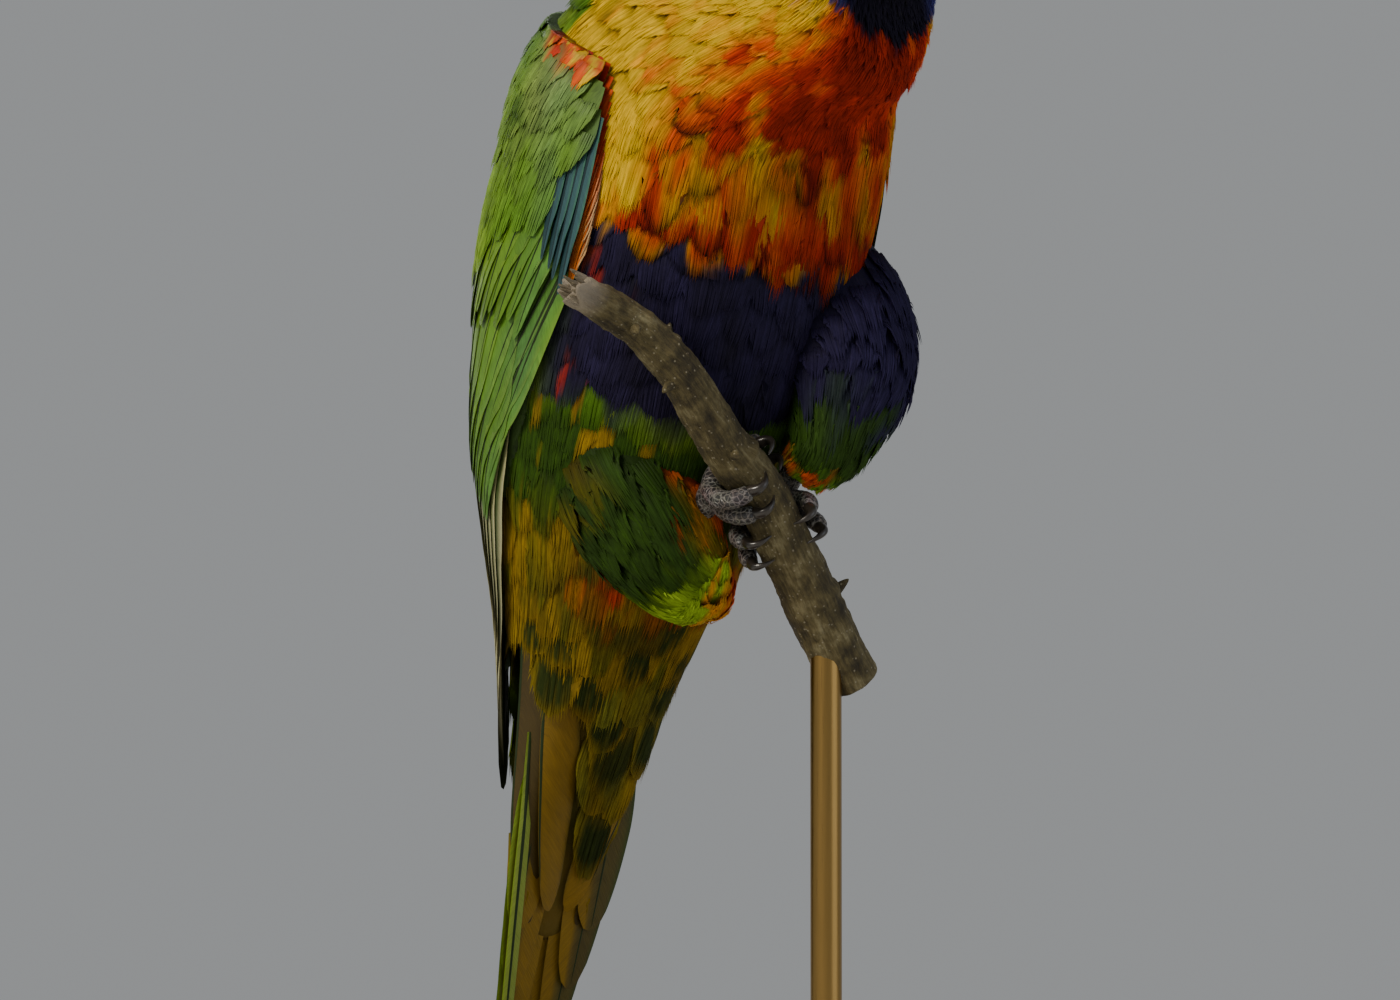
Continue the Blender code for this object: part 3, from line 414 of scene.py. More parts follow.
def mix(first, second, weight):
    """Blends two colours or dyes, by one weight for each place."""
    weight = np.asarray(weight, float)[..., None]
    return dyed(first) * (1 - weight) + dyed(second) * weight


def circle(count):
    """Angles of the corners of a ring, evenly spaced."""
    return 2 * np.pi * np.arange(count) / count


def numbered(rows):
    """Rows of a table behind their own numbers, to be read as places along them."""
    return [(float(index), *row) for index, row in enumerate(rows)]


def scales(*values):
    """Values as arrays that each multiply a direction."""
    return [np.asarray(value, float)[..., None] for value in values]


def ripple(points, size, seed):
    """Smooth random pattern in space from about -1 to 1, its waves about size mm long."""
    draws = np.random.default_rng(seed)
    total = 0.0
    for _ in range(7):
        way = unit(draws.normal(size=3))
        length = size * draws.uniform(0.6, 1.5)
        total = total + np.sin(points @ way * (2 * np.pi / length) + draws.uniform(0, 2 * np.pi))
    return total / 3.2


def ripples(points, *waves):
    """Several random patterns, each from the length of its waves and a seed."""
    return [ripple(points, size, seed) for size, seed in waves]


def body_point(left, along, front):
    """Places on the bird, from millimetres in the axes of its body."""
    left, along, front = scales(left, along, front)
    return PIVOT + LEFT * left + UP_BODY * along + FRONT * front


def superellipse(angle, half_width, front, back):
    """Sideways and forward reach of a rounded section at an angle from its front."""
    sine = np.sin(angle)
    cosine = np.cos(angle)
    left = half_width * np.sign(sine) * np.abs(sine) ** (2 / SECTION_POWER)
    reach = np.where(cosine > 0, front, back)
    return left, reach * np.sign(cosine) * np.abs(cosine) ** (2 / SECTION_POWER)


def body_surface(along, angle, lift=0.0):
    """Points on the body at an angle from the belly, lifted off it."""
    centre, half_width, front, back = np.moveaxis(curves(BODY_SECTIONS, along), -1, 0)
    left, reach = superellipse(np.radians(angle), half_width + lift, front + lift, back + lift)
    return body_point(left, along, centre + reach)


def turned(vector, angle):
    """A direction turned about the upright axis."""
    cosine, sine = math.cos(angle), math.sin(angle)
    x, y, z = vector
    return np.array([cosine * x - sine * y, sine * x + cosine * y, z])


def head_axes():
    """Gaze, left and down directions of the head."""
    level = math.cos(HEAD_PITCH)
    gaze = np.array([math.sin(HEAD_YAW) * level, -math.cos(HEAD_YAW) * level, math.sin(HEAD_PITCH)])
    side = np.array([math.cos(HEAD_YAW), math.sin(HEAD_YAW), 0.0])
    return gaze, side, unit(np.cross(side, gaze))


def head_point(forward, left, down):
    """Places on the head, from millimetres in the axes of the head."""
    gaze, side, below = head_axes()
    forward, left, down = scales(forward, left, down)
    return body_point(*HEAD_CENTRE) + gaze * forward + side * left + below * down


def trunk_frames():
    """Stations from the tail's root to the bill: centre, side, front and reaches."""
    frames = []
    for along, centre, *sizes in TAIL_COVER_SECTIONS + BODY_SECTIONS[:-1]:
        frames.append([along, *body_point(0.0, along, centre), *LEFT, *FRONT, *sizes])
    last = body_point(0.0, BODY_SECTIONS[-2][0], BODY_SECTIONS[-2][1])
    station = BODY_SECTIONS[-2][0]
    for index, (left, along, front, *sizes, lean) in enumerate(NECK_SECTIONS, start=1):
        yaw = HEAD_YAW * (index / (len(NECK_SECTIONS) + 1)) ** 1.5
        tilt = math.radians(lean)
        ahead = turned(UP_BODY * math.cos(tilt) + FRONT * math.sin(tilt), yaw)
        side = turned(LEFT, yaw)
        centre = body_point(left, along, front)
        station += float(np.linalg.norm(centre - last))
        last = centre
        frames.append([station, *centre, *side, *np.cross(side, ahead), *sizes])
    _, side, below = head_axes()
    for forward, *sizes in HEAD_SECTIONS:
        centre = head_point(forward, 0.0, 0.0)
        station += float(np.linalg.norm(centre - last))
        last = centre
        frames.append([station, *centre, *side, *below, *sizes])
    return frames


TRUNK_FRAMES = trunk_frames()
FACE_STATION = TRUNK_FRAMES[-1][0]
TRUNK_START = TAIL_COVER_SECTIONS[0][0]


def trunk_surface(station, angle, lift=0.0):
    """Points on body, neck and head by their station and angle."""
    values = curves(TRUNK_FRAMES, station)
    left, reach = superellipse(
        np.radians(angle), values[..., 9] + lift, values[..., 10] + lift, values[..., 11] + lift
    )
    return values[..., 0:3] + values[..., 3:6] * left[..., None] + values[..., 6:9] * reach[..., None]


class Sheet:
    """Outer form of one tract as a grid; rows run the way the feathers lie.

    Places on it are row and column numbers, which need not be whole.
    """

    def __init__(self, points, core, closed):
        self.points = points
        self.closed = closed
        self.shape = points.shape[:2]
        down = np.gradient(points, axis=0)
        if closed:
            around = (np.roll(points, -1, 1) - np.roll(points, 1, 1)) / 2
        else:
            around = np.gradient(points, axis=1)
        normals = unit(np.cross(around, down))
        outward = np.sum(normals * (points - core[:, None, :]), axis=-1)
        self.normals = normals * (1.0 if outward.mean() > 0 else -1.0)
        self.row_size = np.linalg.norm(down, axis=-1)
        self.column_size = np.maximum(np.linalg.norm(around, axis=-1), 0.02)

    def read(self, grid, row, column):
        rows, columns = self.shape
        row = np.clip(row, 0, rows - 1.001)
        low = row.astype(int)
        row_share = row - low
        if self.closed:
            column = np.mod(column, columns)
        else:
            column = np.clip(column, 0, columns - 1.001)
        left = column.astype(int) % columns
        right = (left + 1) % columns
        column_share = column - np.floor(column)
        if grid.ndim == 3:
            row_share = row_share[..., None]
            column_share = column_share[..., None]
        high = low + 1
        upper = grid[low, left] * (1 - column_share) + grid[low, right] * column_share
        lower = grid[high, left] * (1 - column_share) + grid[high, right] * column_share
        return upper * (1 - row_share) + lower * row_share

    def place(self, row, column, lift):
        row, column, lift = np.broadcast_arrays(row, column, lift)
        normal = unit(self.read(self.normals, row, column))
        return self.read(self.points, row, column) + normal * lift[..., None]


def make_trunk_sheet():
    """Grid over head, neck and body, one row a millimetre, its columns evenly spaced."""
    stations = np.arange(FACE_STATION, TRUNK_START, -1.0)
    angles = np.linspace(-180, 180, 721)
    rough = trunk_surface(stations[:, None], angles[None, :])
    points = np.empty((len(stations), TRUNK_COLUMNS, 3))
    place = np.empty((len(stations), TRUNK_COLUMNS))
    for i in range(len(stations)):
        steps = np.linalg.norm(np.diff(rough[i], axis=0), axis=1)
        way = np.concatenate([[0.0], np.cumsum(steps)])
        marks = way[-1] * np.arange(TRUNK_COLUMNS) / TRUNK_COLUMNS
        place[i] = np.interp(marks, way, angles)
        for axis in range(3):
            points[i, :, axis] = np.interp(marks, way, rough[i, :, axis])
    sheet = Sheet(points, curves(TRUNK_FRAMES, stations)[:, 0:3], True)
    sheet.angles = place
    return sheet


def trunk_angle(sheet, row, column):
    """Angle from the middle of the belly at places on the trunk's grid."""
    return sheet.read(sheet.angles, row, np.clip(np.mod(column, TRUNK_COLUMNS), 0, TRUNK_COLUMNS - 1.01))


def trunk_column(sheet, station, angle):
    """Column of the trunk's grid at a station and an angle."""
    return float(np.interp(angle, sheet.angles[int(FACE_STATION - station)], np.arange(TRUNK_COLUMNS)))


def make_wing_sheet(turn):
    """Grid over one flank: one row a millimetre, one column a degree."""
    along = np.arange(WING_TOP, WING_END, -1.0)
    angles = np.arange(WING_SIDE_START, WING_SIDE_END, 1.0)
    points = body_surface(np.broadcast_to(along[:, None], (len(along), len(angles))), turn * angles[None, :])
    centre = curves(BODY_SECTIONS, along)[:, 0]
    return Sheet(points, body_point(np.zeros(len(along)), along, centre), False)


def tail_centre(along):
    """How far the tail's middle lies in front of the body's axis."""
    along = np.asarray(along, float)
    level = curves(BODY_SECTIONS, along)[..., 0]
    drop = BODY_SECTIONS[0][1] + TAIL_LINE_DROP * (TAIL_LINE_START - along)
    return np.where(along > TAIL_LINE_START, level, drop)


def make_tail_sheet():
    """Flat grid through the tail's fan, one row and one column a millimetre."""
    along = np.arange(TAIL_TOP, TAIL_END, -1.0)
    left = np.arange(-TAIL_HALF, TAIL_HALF + 0.5, 1.0)
    centre = tail_centre(along)
    points = body_point(
        np.broadcast_to(left[None, :], (len(along), len(left))), along[:, None], centre[:, None]
    )
    return Sheet(points, body_point(np.zeros(len(along)), along, centre - 50.0), False)


def leg_rings(turn, shrink, count, steps):
    """Sections of a thigh from hip to shank, where its feathers close round the shank."""
    rows = [(*body_point(*place), radius) for *place, radius in LEGS[turn]]
    hock = np.array(rows[-1][:3])
    rows.append((*(hock + (palm_spot(turn) - hock) * CUFF_SHARE), CUFF_RADIUS))
    marks = curves(numbered(rows), np.linspace(0, len(rows) - 1, steps))
    centres = marks[:, :3]
    ahead = unit(np.gradient(centres, axis=0))
    side = unit(LEFT - ahead * (ahead @ LEFT)[:, None])
    front = np.cross(side, ahead)
    radius = np.maximum(marks[:, 3] - shrink, 1.0)[:, None]
    left, reach = superellipse(circle(count)[None, :], radius, radius, radius)
    points = centres[:, None] + side[:, None] * left[..., None] + front[:, None] * reach[..., None]
    return points, centres


def make_leg_sheet(turn):
    """Grid round one thigh, its rows from hip to shank."""
    points, centres = leg_rings(turn, 0.0, LEG_COLUMNS, LEG_ROWS)
    return Sheet(points, centres, True)


def mesh_object(name, points, triangles, material, smooth=True):
    """Object from points in millimetres and triangles."""
    mesh = bpy.data.meshes.new(name)
    mesh.vertices.add(len(points))
    mesh.vertices.foreach_set("co", (np.asarray(points) * MM).astype(np.float32).ravel())
    mesh.loops.add(len(triangles) * 3)
    mesh.loops.foreach_set("vertex_index", np.asarray(triangles, np.int32).ravel())
    mesh.polygons.add(len(triangles))
    mesh.polygons.foreach_set("loop_start", np.arange(0, len(triangles) * 3, 3, dtype=np.int32))
    mesh.polygons.foreach_set("use_smooth", np.full(len(triangles), smooth))
    mesh.update(calc_edges=True)
    mesh.validate()
    mesh.materials.append(bpy.data.materials[material])
    thing = bpy.data.objects.new(name, mesh)
    bpy.context.scene.collection.objects.link(thing)
    return thing


def show(name, solid, material, replaced=()):
    """Adds a solid piece in one material, in place of the nodes named."""
    thing = mesh_object(name, *solid, material)
    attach(thing, "root")
    if replaced:
        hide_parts(*replaced)
    return thing


def paint_corners(thing, colours):
    """Gives each corner of the faces its colour."""
    layer = thing.data.color_attributes.new("plumage", "FLOAT_COLOR", "CORNER")
    full = np.ones((len(colours), 4), np.float32)
    full[:, :3] = colours
    layer.data.foreach_set("color", full.ravel())


def add_map(thing, name, places):
    """Adds a flat map, with one place for each corner of the faces."""
    layer = thing.data.uv_layers.new(name=name)
    layer.data.foreach_set("uv", places.astype(np.float32).ravel())


def mark_rims(thing, rim_vertices):
    """Keeps the thin edge between a feather's two faces crisp."""
    mesh = thing.data
    ends = np.empty(len(mesh.edges) * 2, np.int32)
    mesh.edges.foreach_get("vertices", ends)
    ends = ends.reshape(-1, 2)
    sharp = rim_vertices[ends[:, 0]] & rim_vertices[ends[:, 1]]
    layer = mesh.attributes.new("sharp_edge", "BOOLEAN", "EDGE")
    layer.data.foreach_set("value", sharp)


def feather_faces(across, steps):
    """Triangles of one feather: its upper face as a grid, its lower face round a keel."""
    def spot(i, j):
        return i * (across + 1) + j
    keel = (steps + 1) * (across + 1)
    upper = []
    for i in range(steps):
        for j in range(across):
            a, b, c, d = spot(i, j), spot(i, j + 1), spot(i + 1, j + 1), spot(i + 1, j)
            upper += [(a, b, c), (a, c, d)]
    lower = []
    for i in range(1, steps - 1):
        low, high = keel + i - 1, keel + i
        a, b = spot(i, 0), spot(i + 1, 0)
        c, d = spot(i, across), spot(i + 1, across)
        lower += [(a, b, high), (a, high, low), (low, high, d), (low, d, c)]
    first, last = keel, keel + steps - 2
    for j in range(across):
        lower.append((first, spot(0, j + 1), spot(0, j)))
        lower.append((last, spot(steps, j), spot(steps, j + 1)))
    lower += [(spot(0, 0), spot(1, 0), first), (first, spot(1, across), spot(0, across))]
    lower.append((spot(steps - 1, 0), spot(steps, 0), last))
    lower.append((last, spot(steps, across), spot(steps - 1, across)))
    rim = np.zeros(keel + steps - 1, bool)
    for i in range(steps + 1):
        rim[[spot(i, 0), spot(i, across)]] = True
    rim[: across + 1] = True
    rim[spot(steps, 0) : spot(steps, across) + 1] = True
    return np.array(upper), np.array(lower), rim


DEFAULTS = {
    "curl": 0.0, "tilt": 0.0, "camber": 0.3, "round": 0.3, "point": 0.15, "base": 0.55, "ragged": 0.05,
    "shaft": 0.0, "keel": 0.14, "fray": 0.0, "strand": 0.6, "streak": 0.0, "rim": 0.0, "inner": 0.0,
    "dark_tip": 0.0, "dark_root": 0.0, "spot": 0.0, "shade": 1.0, "mirror": 1.0,
}
TINTS = ("root_colour", "tip_colour", "rim_colour", "inner_colour", "streak_colour", "spot_colour")


def fill_tract(**tract):
    """Gives a tract every value that its feathers need, one for each feather."""
    count = len(tract["column"])
    for key, value in DEFAULTS.items():
        tract.setdefault(key, value)
    for key, value in tract.items():
        if key not in TINTS and np.ndim(value) == 0:
            tract[key] = np.full(count, float(value))
    for key in TINTS:
        tract.setdefault(key, tract.get("tip_colour", np.zeros(3)))
        tract[key] = np.broadcast_to(dyed(tract[key]), (count, 3))
    tract.setdefault("under_colour", None)
    return tract


def join_tracts(tracts):
    """One tract from several that have the same keys."""
    joined = {}
    for key in tracts[0]:
        values = [tract[key] for tract in tracts]
        joined[key] = None if values[0] is None else np.concatenate(values)
    return joined


def keep(tract, wanted):
    """The tract's wanted feathers alone."""
    return {key: (None if value is None else value[wanted]) for key, value in tract.items()}


def reader(tract):
    """Reads a tract's values in the shape that meets a grid of places on each feather."""
    return lambda key: tract[key][:, None, None]


def vane_shape(tract, u, v, wave=0.0):
    """Row, middle column, sideways reach and lift of places on each feather.

    u goes from edge to edge as -1 to 1 and v from root to tip as 0 to 1.
    """
    part = reader(tract)
    reach = v * (1 - part("round") * np.abs(u) ** 2.3 * np.minimum(v, 1) ** 2) + wave
    swell = part("base") + (1 - part("base")) * np.sin(np.pi / 2 * np.minimum(v / 0.5, 1))
    span = part("width") / 2 * swell * (1 - part("point") * np.minimum(v, 1) ** 3)
    lift = part("lift") + (part("tip_lift") - part("lift")) * np.minimum(v / 0.9, 1) ** 0.85
    lift = lift + part("camber") * (1 - np.abs(u - part("shaft")) ** 1.5) * np.minimum(v * 3, 1)
    lift = lift - part("tilt") * u * np.minimum(v * 2.5, 1) + part("curl") * v ** 4
    row = part("row") + (part("tip_row") - part("row")) * reach
    middle = part("column") + (part("tip_column") - part("column")) * reach
    return row, middle, u * span, lift, reach


def vane_colour(tract, sheet, u, v, column, paint):
    """Colour of places on each feather, from the tract's pattern or the feather's own."""
    part = reader(tract)
    if paint is None:
        colour = mix(part("root_colour"), part("tip_colour"), ramp(v, 0.25, 0.85))
    else:
        own = part("row") + (part("tip_row") - part("row")) * (0.72 + 0.3 * (v - 0.72))
        colour = paint(sheet, own, column)
    u = u * part("mirror")
    spot = ramp(v, 0.42, 0.62) * fall(v, 0.86, 0.98) * fall(np.abs(u), 0.5, 0.85)
    colour = mix(colour, part("spot_colour"), part("spot") * spot)
    colour = mix(colour, part("streak_colour"), part("streak") * fall(np.abs(u), 0.08, 0.4))
    colour = mix(colour, part("inner_colour"), part("inner") * ramp(u - part("shaft"), 0.02, 0.2))
    colour = mix(colour, part("rim_colour"), part("rim") * ramp(-u, 0.7, 0.98))
    # darker roots: partly the feathers' own darker bases, partly painted shade in the gaps between
    # overlapping rows
    # darker tips: partly painted shade of the dark crescents between rows, partly the feathers' darker edges
    dark = part("dark_tip") * ramp(v, 0.82, 1.0) + part("dark_root") * fall(v, 0.3, 0.62)
    return colour * ((1 - dark) * part("shade"))[..., None]


def patch_layout(sheet, tract, columns):
    """Each feather's place on the bake map, its patch's size and how far aside the lower face lies."""
    if columns is None:
        column = np.mod(tract["column"], sheet.shape[1]) / sheet.shape[1]
        place = np.stack([column, 1 - tract["row"] / sheet.shape[0]], axis=-1)
        return 0.01 + 0.98 * np.clip(place, 0, 1), SMALL_PATCH, SMALL_ASIDE
    order = np.arange(len(tract["row"]))
    cells = np.array([columns, math.ceil(len(order) / columns)])
    place = np.stack([order % columns, order // columns], axis=-1)
    return (place + LONG_START) / cells, LONG_PATCH / cells, LONG_ASIDE / columns


def join_pieces(pieces):
    """One set of points, faces and corner values from several sets."""
    starts = np.cumsum([0] + [len(piece["points"]) for piece in pieces[:-1]])
    joined = {key: np.concatenate([piece[key] for piece in pieces]) for key in pieces[0]}
    joined["faces"] = np.concatenate([piece["faces"] + start for piece, start in zip(pieces, starts)])
    return joined


def lay_feathers(name, sheet, tract, grid, material, draws, columns=None, paint=None, strands=0, shafts=None):
    """Builds one joined mesh of overlapping feathers on a sheet.

    The grid is a feather's steps across and along. Long feathers have columns on
    the bake map, slanting barbs and shafts; small ones have loose strands.
    """
    across, steps = grid
    count = len(tract["row"])
    upper, lower, rim = feather_faces(across, steps)
    u = np.broadcast_to(np.linspace(-1, 1, across + 1)[None, None, :], (count, steps + 1, across + 1))
    v = np.broadcast_to(np.linspace(0, 1, steps + 1)[None, :, None], u.shape)
    wave = np.zeros(u.shape)
    wave[:, -1, :] = tract["ragged"][:, None] * draws.uniform(-1, 1, (count, across + 1))
    row, middle, lateral, lift, reach = vane_shape(tract, u, v, wave)
    column = middle + lateral / sheet.read(sheet.column_size, row, middle)
    inner = (slice(None), slice(1, -1), across // 2)
    keel_lift = lift[inner] - tract["keel"][:, None] - 0.5 * np.abs(tract["camber"])[:, None]
    keel = sheet.place(row[inner], column[inner], keel_lift)

    def with_keel(values, keel_values=None):
        keel_values = values[inner] if keel_values is None else keel_values
        flat = values.reshape(count, (steps + 1) * (across + 1), -1)
        return np.concatenate([flat, keel_values.reshape(count, steps - 1, -1)], axis=1)

    def to_corners(over, under):
        both = np.concatenate([over[:, upper.ravel()], under[:, lower.ravel()]], axis=1)
        return both.reshape(-1, over.shape[-1])

    colour = with_keel(vane_colour(tract, sheet, u, v, column, paint))
    if tract["under_colour"] is None:
        below = colour * 0.75
    else:
        below = np.broadcast_to(tract["under_colour"][:, None, :], colour.shape)

    # barb map in millimetres: across the barbs, then along them
    away = lateral - (tract["shaft"] * tract["width"] / 2)[:, None, None] * np.minimum(v * 2, 1)
    shift = draws.uniform(0, 400, count)[:, None, None]
    length = reach * tract["length"][:, None, None]
    if columns is None:
        barb = np.stack([away + shift, length + shift], axis=-1)
    else:
        slanted = length - BARB_SLANT * np.abs(away) + shift
        barb = np.stack([slanted, np.abs(away) * BARB_SPREAD + shift], axis=-1)
    barb = with_keel(barb)

    root, size, aside = patch_layout(sheet, tract, columns)
    patch = root[:, None, :] + with_keel(np.stack([u, v], axis=-1)) * size
    faces = np.concatenate([upper, lower])
    pieces = [{
        "points": with_keel(sheet.place(row, column, lift), keel).reshape(-1, 3),
        "faces": (np.arange(count)[:, None, None] * len(rim) + faces[None]).reshape(-1, 3),
        "colour": to_corners(colour, below),
        "barb": to_corners(barb, barb),
        "bake": to_corners(patch, patch + np.array([aside, 0.0])),
        "rims": np.tile(rim, count),
    }]
    if strands:
        pieces.append(lay_strands(sheet, tract, strands, shift, root, draws, paint))
    if shafts is not None:
        pieces.append(lay_shafts(sheet, tract, shift, root, shafts))
    made = join_pieces(pieces)
    thing = mesh_object(name, made["points"], made["faces"], material)
    paint_corners(thing, made["colour"])
    add_map(thing, "Barbs", made["barb"])
    add_map(thing, "OFBake", made["bake"])
    mark_rims(thing, made["rims"])
    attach(thing, "root")


def prism_faces(stations):
    """Triangles of a three-sided sliver: three points at each station, one at its tip."""
    faces = [(0, 2, 1)]
    for k in range(stations - 2):
        low, high = 3 * k, 3 * k + 3
        for a, b in ((0, 1), (1, 2), (2, 0)):
            faces += [(low + a, low + b, high + b), (low + a, high + b, high + a)]
    low, tip = 3 * (stations - 2), 3 * (stations - 1)
    return np.array(faces + [(low, low + 1, tip), (low + 1, low + 2, tip), (low + 2, low, tip)])


def slivers(sheet, tract, u, v, wide, lift_by, shades, root, shift, paint, tint=None):
    """Solid slivers along the feathers, through places (u, v) of each feather's stations."""
    count, stations, strands = u.shape
    row, middle, lateral, lift, reach = vane_shape(tract, u, v)
    size = sheet.read(sheet.column_size, row, middle)
    rows = np.repeat(row[..., None], 3, axis=-1)
    columns = middle[..., None] + (lateral[..., None] + SLIVER_ACROSS * wide[..., None]) / size[..., None]
    lifts = (lift + lift_by)[..., None] + SLIVER_HEIGHT * wide[..., None]
    spots = sheet.place(rows, columns, lifts)
    if tint is None:
        colour = vane_colour(tract, sheet, u, np.minimum(v, 1.0), columns[..., 1], paint)
    else:
        colour = np.broadcast_to(dyed(tint), u.shape + (3,))
    barb = np.stack([lateral + shift, reach * tract["length"][:, None, None]], axis=-1)
    patch = root[:, None, None, :] + np.stack([u, np.minimum(v, 1)], axis=-1) * SMALL_PATCH
    faces = prism_faces(stations)
    per = 3 * stations - 2
    total = count * strands

    def per_strand(values, width):
        values = np.moveaxis(values, 2, 1)
        body = values[:, :, :-1]
        if values.ndim == 5:
            tip = values[:, :, -1, 1]
        else:
            body = np.repeat(body, 3, axis=2)
            tip = values[:, :, -1]
        body = body.reshape(total, per - 1, width)
        return np.concatenate([body, tip.reshape(total, 1, width)], axis=1)

    def to_corners(values):
        return per_strand(values, values.shape[-1])[:, faces.ravel()].reshape(-1, values.shape[-1])

    return {
        "points": per_strand(spots, 3).reshape(-1, 3),
        "faces": (np.arange(total)[:, None, None] * per + faces[None]).reshape(-1, 3),
        "colour": to_corners(colour * shades[..., None]),
        "barb": to_corners(barb),
        "bake": to_corners(patch),
        "rims": np.tile(np.arange(per) % 3 != 1, total),
    }


def lay_strands(sheet, tract, strands, shift, root, draws, paint):
    """Barbs clumped into fine strands over the outer half of each feather."""
    part = reader(tract)
    places = STRAND_PLACES[None, :, None]
    shape = (len(tract["row"]), 1, strands)
    start = np.linspace(-0.94, 0.94, strands)[None, None, :] + draws.uniform(-0.5, 0.5, shape) / strands
    bend = draws.uniform(-1.0, 1.0, shape) * 1.1 / strands
    u = start + bend * (places - STRAND_PLACES[0])
    v = places * (1 + part("fray") / part("length") * draws.uniform(0.3, 1.25, shape))
    wide = part("strand") * draws.uniform(0.7, 1.3, shape) * STRAND_WIDTHS[None, :, None]
    raised = 0.1 + draws.uniform(0.0, 0.22, shape)
    shades = draws.uniform(0.82, 1.2, shape)
    own = shift + 3.7 * draws.uniform(0, 50, shape)
    return slivers(sheet, tract, u, v, wide, raised, shades, root, own, paint)


def lay_shafts(sheet, tract, shift, root, tint):
    """The stiff shaft that shows along the middle of each long feather."""
    shape = (len(tract["row"]), len(SHAFT_PLACES), 1)
    u = np.broadcast_to(tract["shaft"][:, None, None], shape)
    v = np.broadcast_to(SHAFT_PLACES[None, :, None], shape)
    wide = np.broadcast_to((0.95 - 0.7 * SHAFT_PLACES)[None, :, None], shape)
    return slivers(sheet, tract, u, v, wide, 0.0, np.ones(shape), root, shift, None, tint)


def bib_edge(side):
    """Station where the blue of the head begins, by angle from the throat."""
    return 137.5 - 5.0 * fall(side, 70, 98) - 6.0 * hump(side, 66, 13.0)


def breast_heat(station, angle, wide, fine, small):
    """How far the breast's yellow turns to red, where each of its patches is."""
    side = np.abs(angle)
    middle = 0.93 * fall(side + 6 * fine + 4 * wide + 2 * small, 30, 58) * ramp(station + 3 * fine, 71, 88)
    band = 0.84 * hump(station, 60.0, 4.6) * (1 - 0.35 * ramp(side, 52, 76))
    low = 0.42 * fall(side, 40, 66) * ramp(station, 60, 68)
    shoulder = 0.7 * np.exp(-(((station - 108) / 13.0) ** 2) - ((side - 52) / 13.0) ** 2)
    flank = 0.42 * ramp(angle, 30, 46) * fall(angle, 70, 90) * fall(station, 100, 116)
    return np.maximum.reduce([middle, band, low, shoulder, flank]) + 0.27 * fine + 0.12 * wide + 0.09 * small


def paint_trunk(sheet, row, column):
    """Colour of the plumage at a place on head, neck or body."""
    points = sheet.read(sheet.points, row, column)
    station = FACE_STATION - row
    angle = trunk_angle(sheet, row, column)
    side = np.abs(angle)
    wide, fine, small = ripples(points, (24, 3), (9, 5), (3.4, 6))
    rough_station = station + 1.3 * wide + 1.2 * fine + 0.5 * small
    rough_side = side + 6 * fine + 4 * wide + 2 * small
    green = mix("green", "olive", whole(0.3 + 0.3 * wide))
    colour = mix(green, "green_dark", whole(0.3 + 0.25 * fine + 0.1 * small))

    # breast: yellow sides, a red middle and a red lower band
    breast = ramp(rough_station, 50.0, 52.0) * fall(rough_station, 135.0, 138.0) * fall(rough_side, 100, 108)
    heat = breast_heat(station, angle, wide, fine, small)
    warm = mix("yellow", "gold", ramp(heat, 0.0, 0.36))
    warm = mix(warm, "orange", ramp(heat, 0.36, 0.62))
    warm = mix(warm, "red", ramp(heat, 0.58, 0.84))
    warm = mix(warm, "red_deep", ramp(heat, 0.84, 1.1) * 0.6)
    # painted shade: the lower middle of the breast is darkened by up to 30%, as if it lay in shadow
    warm = warm * (1 - 0.3 * fall(station, 84, 100) * fall(side, 44, 64))[..., None]
    colour = mix(colour, warm, breast)

    # belly: navy in the middle, with flecked flanks below the wing's edge
    belly = ramp(rough_station, 20, 24) * fall(rough_station, 55.0, 56.6)
    navy = mix("navy", "navy_dark", whole(0.5 + 0.4 * fine))
    colour = mix(colour, navy, belly * fall(rough_side, 66, 90))
    fleck = ramp(fine + 0.5 * small, 0.42, 0.7) * ramp(side, 44, 66) * ramp(station, 10, 24)
    fleck = fleck * fall(station, 48, 56) * fall(side, 96, 120)
    colour = mix(colour, mix("red", "vent_orange", ramp(wide, -0.4, 0.4)), fleck * 0.5)

    # lower belly and vent: green with yellow and orange, and a rusty band
    under = fall(rough_station, 18, 22) * fall(rough_side, 108, 122)
    moss = ramp(fine + 0.3 * small - 0.6 * ramp(station, -8, 6), -0.15, 0.35)
    moss = mix("green_dark", "vent_yellow_shaded", moss)
    yolk = mix("vent_yellow_shaded", "vent_orange", ramp(wide + 0.4 * fine, 0.0, 0.9))
    yolk = mix(yolk, "green_dark", 0.8 * ramp(fine + 0.6 * wide + 0.2 * small, 0.0, 0.5))
    mottled = mix(moss, yolk, fall(station, -16, 4) * 0.85)
    rusty = hump(station, -12, 5.0) * fall(rough_side, 30, 58) * ramp(fine + small, -0.7, 0.2)
    colour = mix(colour, mix(mottled, "red", rusty * 0.85), under)
    olive = mix("vent_yellow_shaded", "olive", whole(0.4 + 0.4 * fine))
    colour = mix(colour, olive, fall(station, -40, -30) * fall(rough_side, 112, 126))

    # collar of yellow green, the blue head and its dark bib
    collar = ramp(rough_station, 122, 126) * fall(rough_station, 137, 139) * ramp(rough_side, 82, 98)
    colour = mix(colour, "collar", collar * 0.9)
    head = ramp(station + fine + 0.6 * small - bib_edge(side), -0.6, 0.6)
    face = mix("violet", "blue", ramp(side, 50, 110))
    face = mix(face, "navy_dark", fall(side, 34, 66) * (1 - 0.6 * ramp(station, 146, 158)))
    return mix(colour, face, head)


def clear_of_webs(station, angle, length):
    """Tells which coverts leave the webs of the outer tail feathers in sight."""
    tip = station - length
    right, left = np.moveaxis(curves(COVERT_REACH, tip), -1, 0)
    side = np.abs(angle)
    return (tip > COVERT_REACH[-1][0]) | (side > COVERT_SIDE) | (side < np.where(angle < 0, right, left))


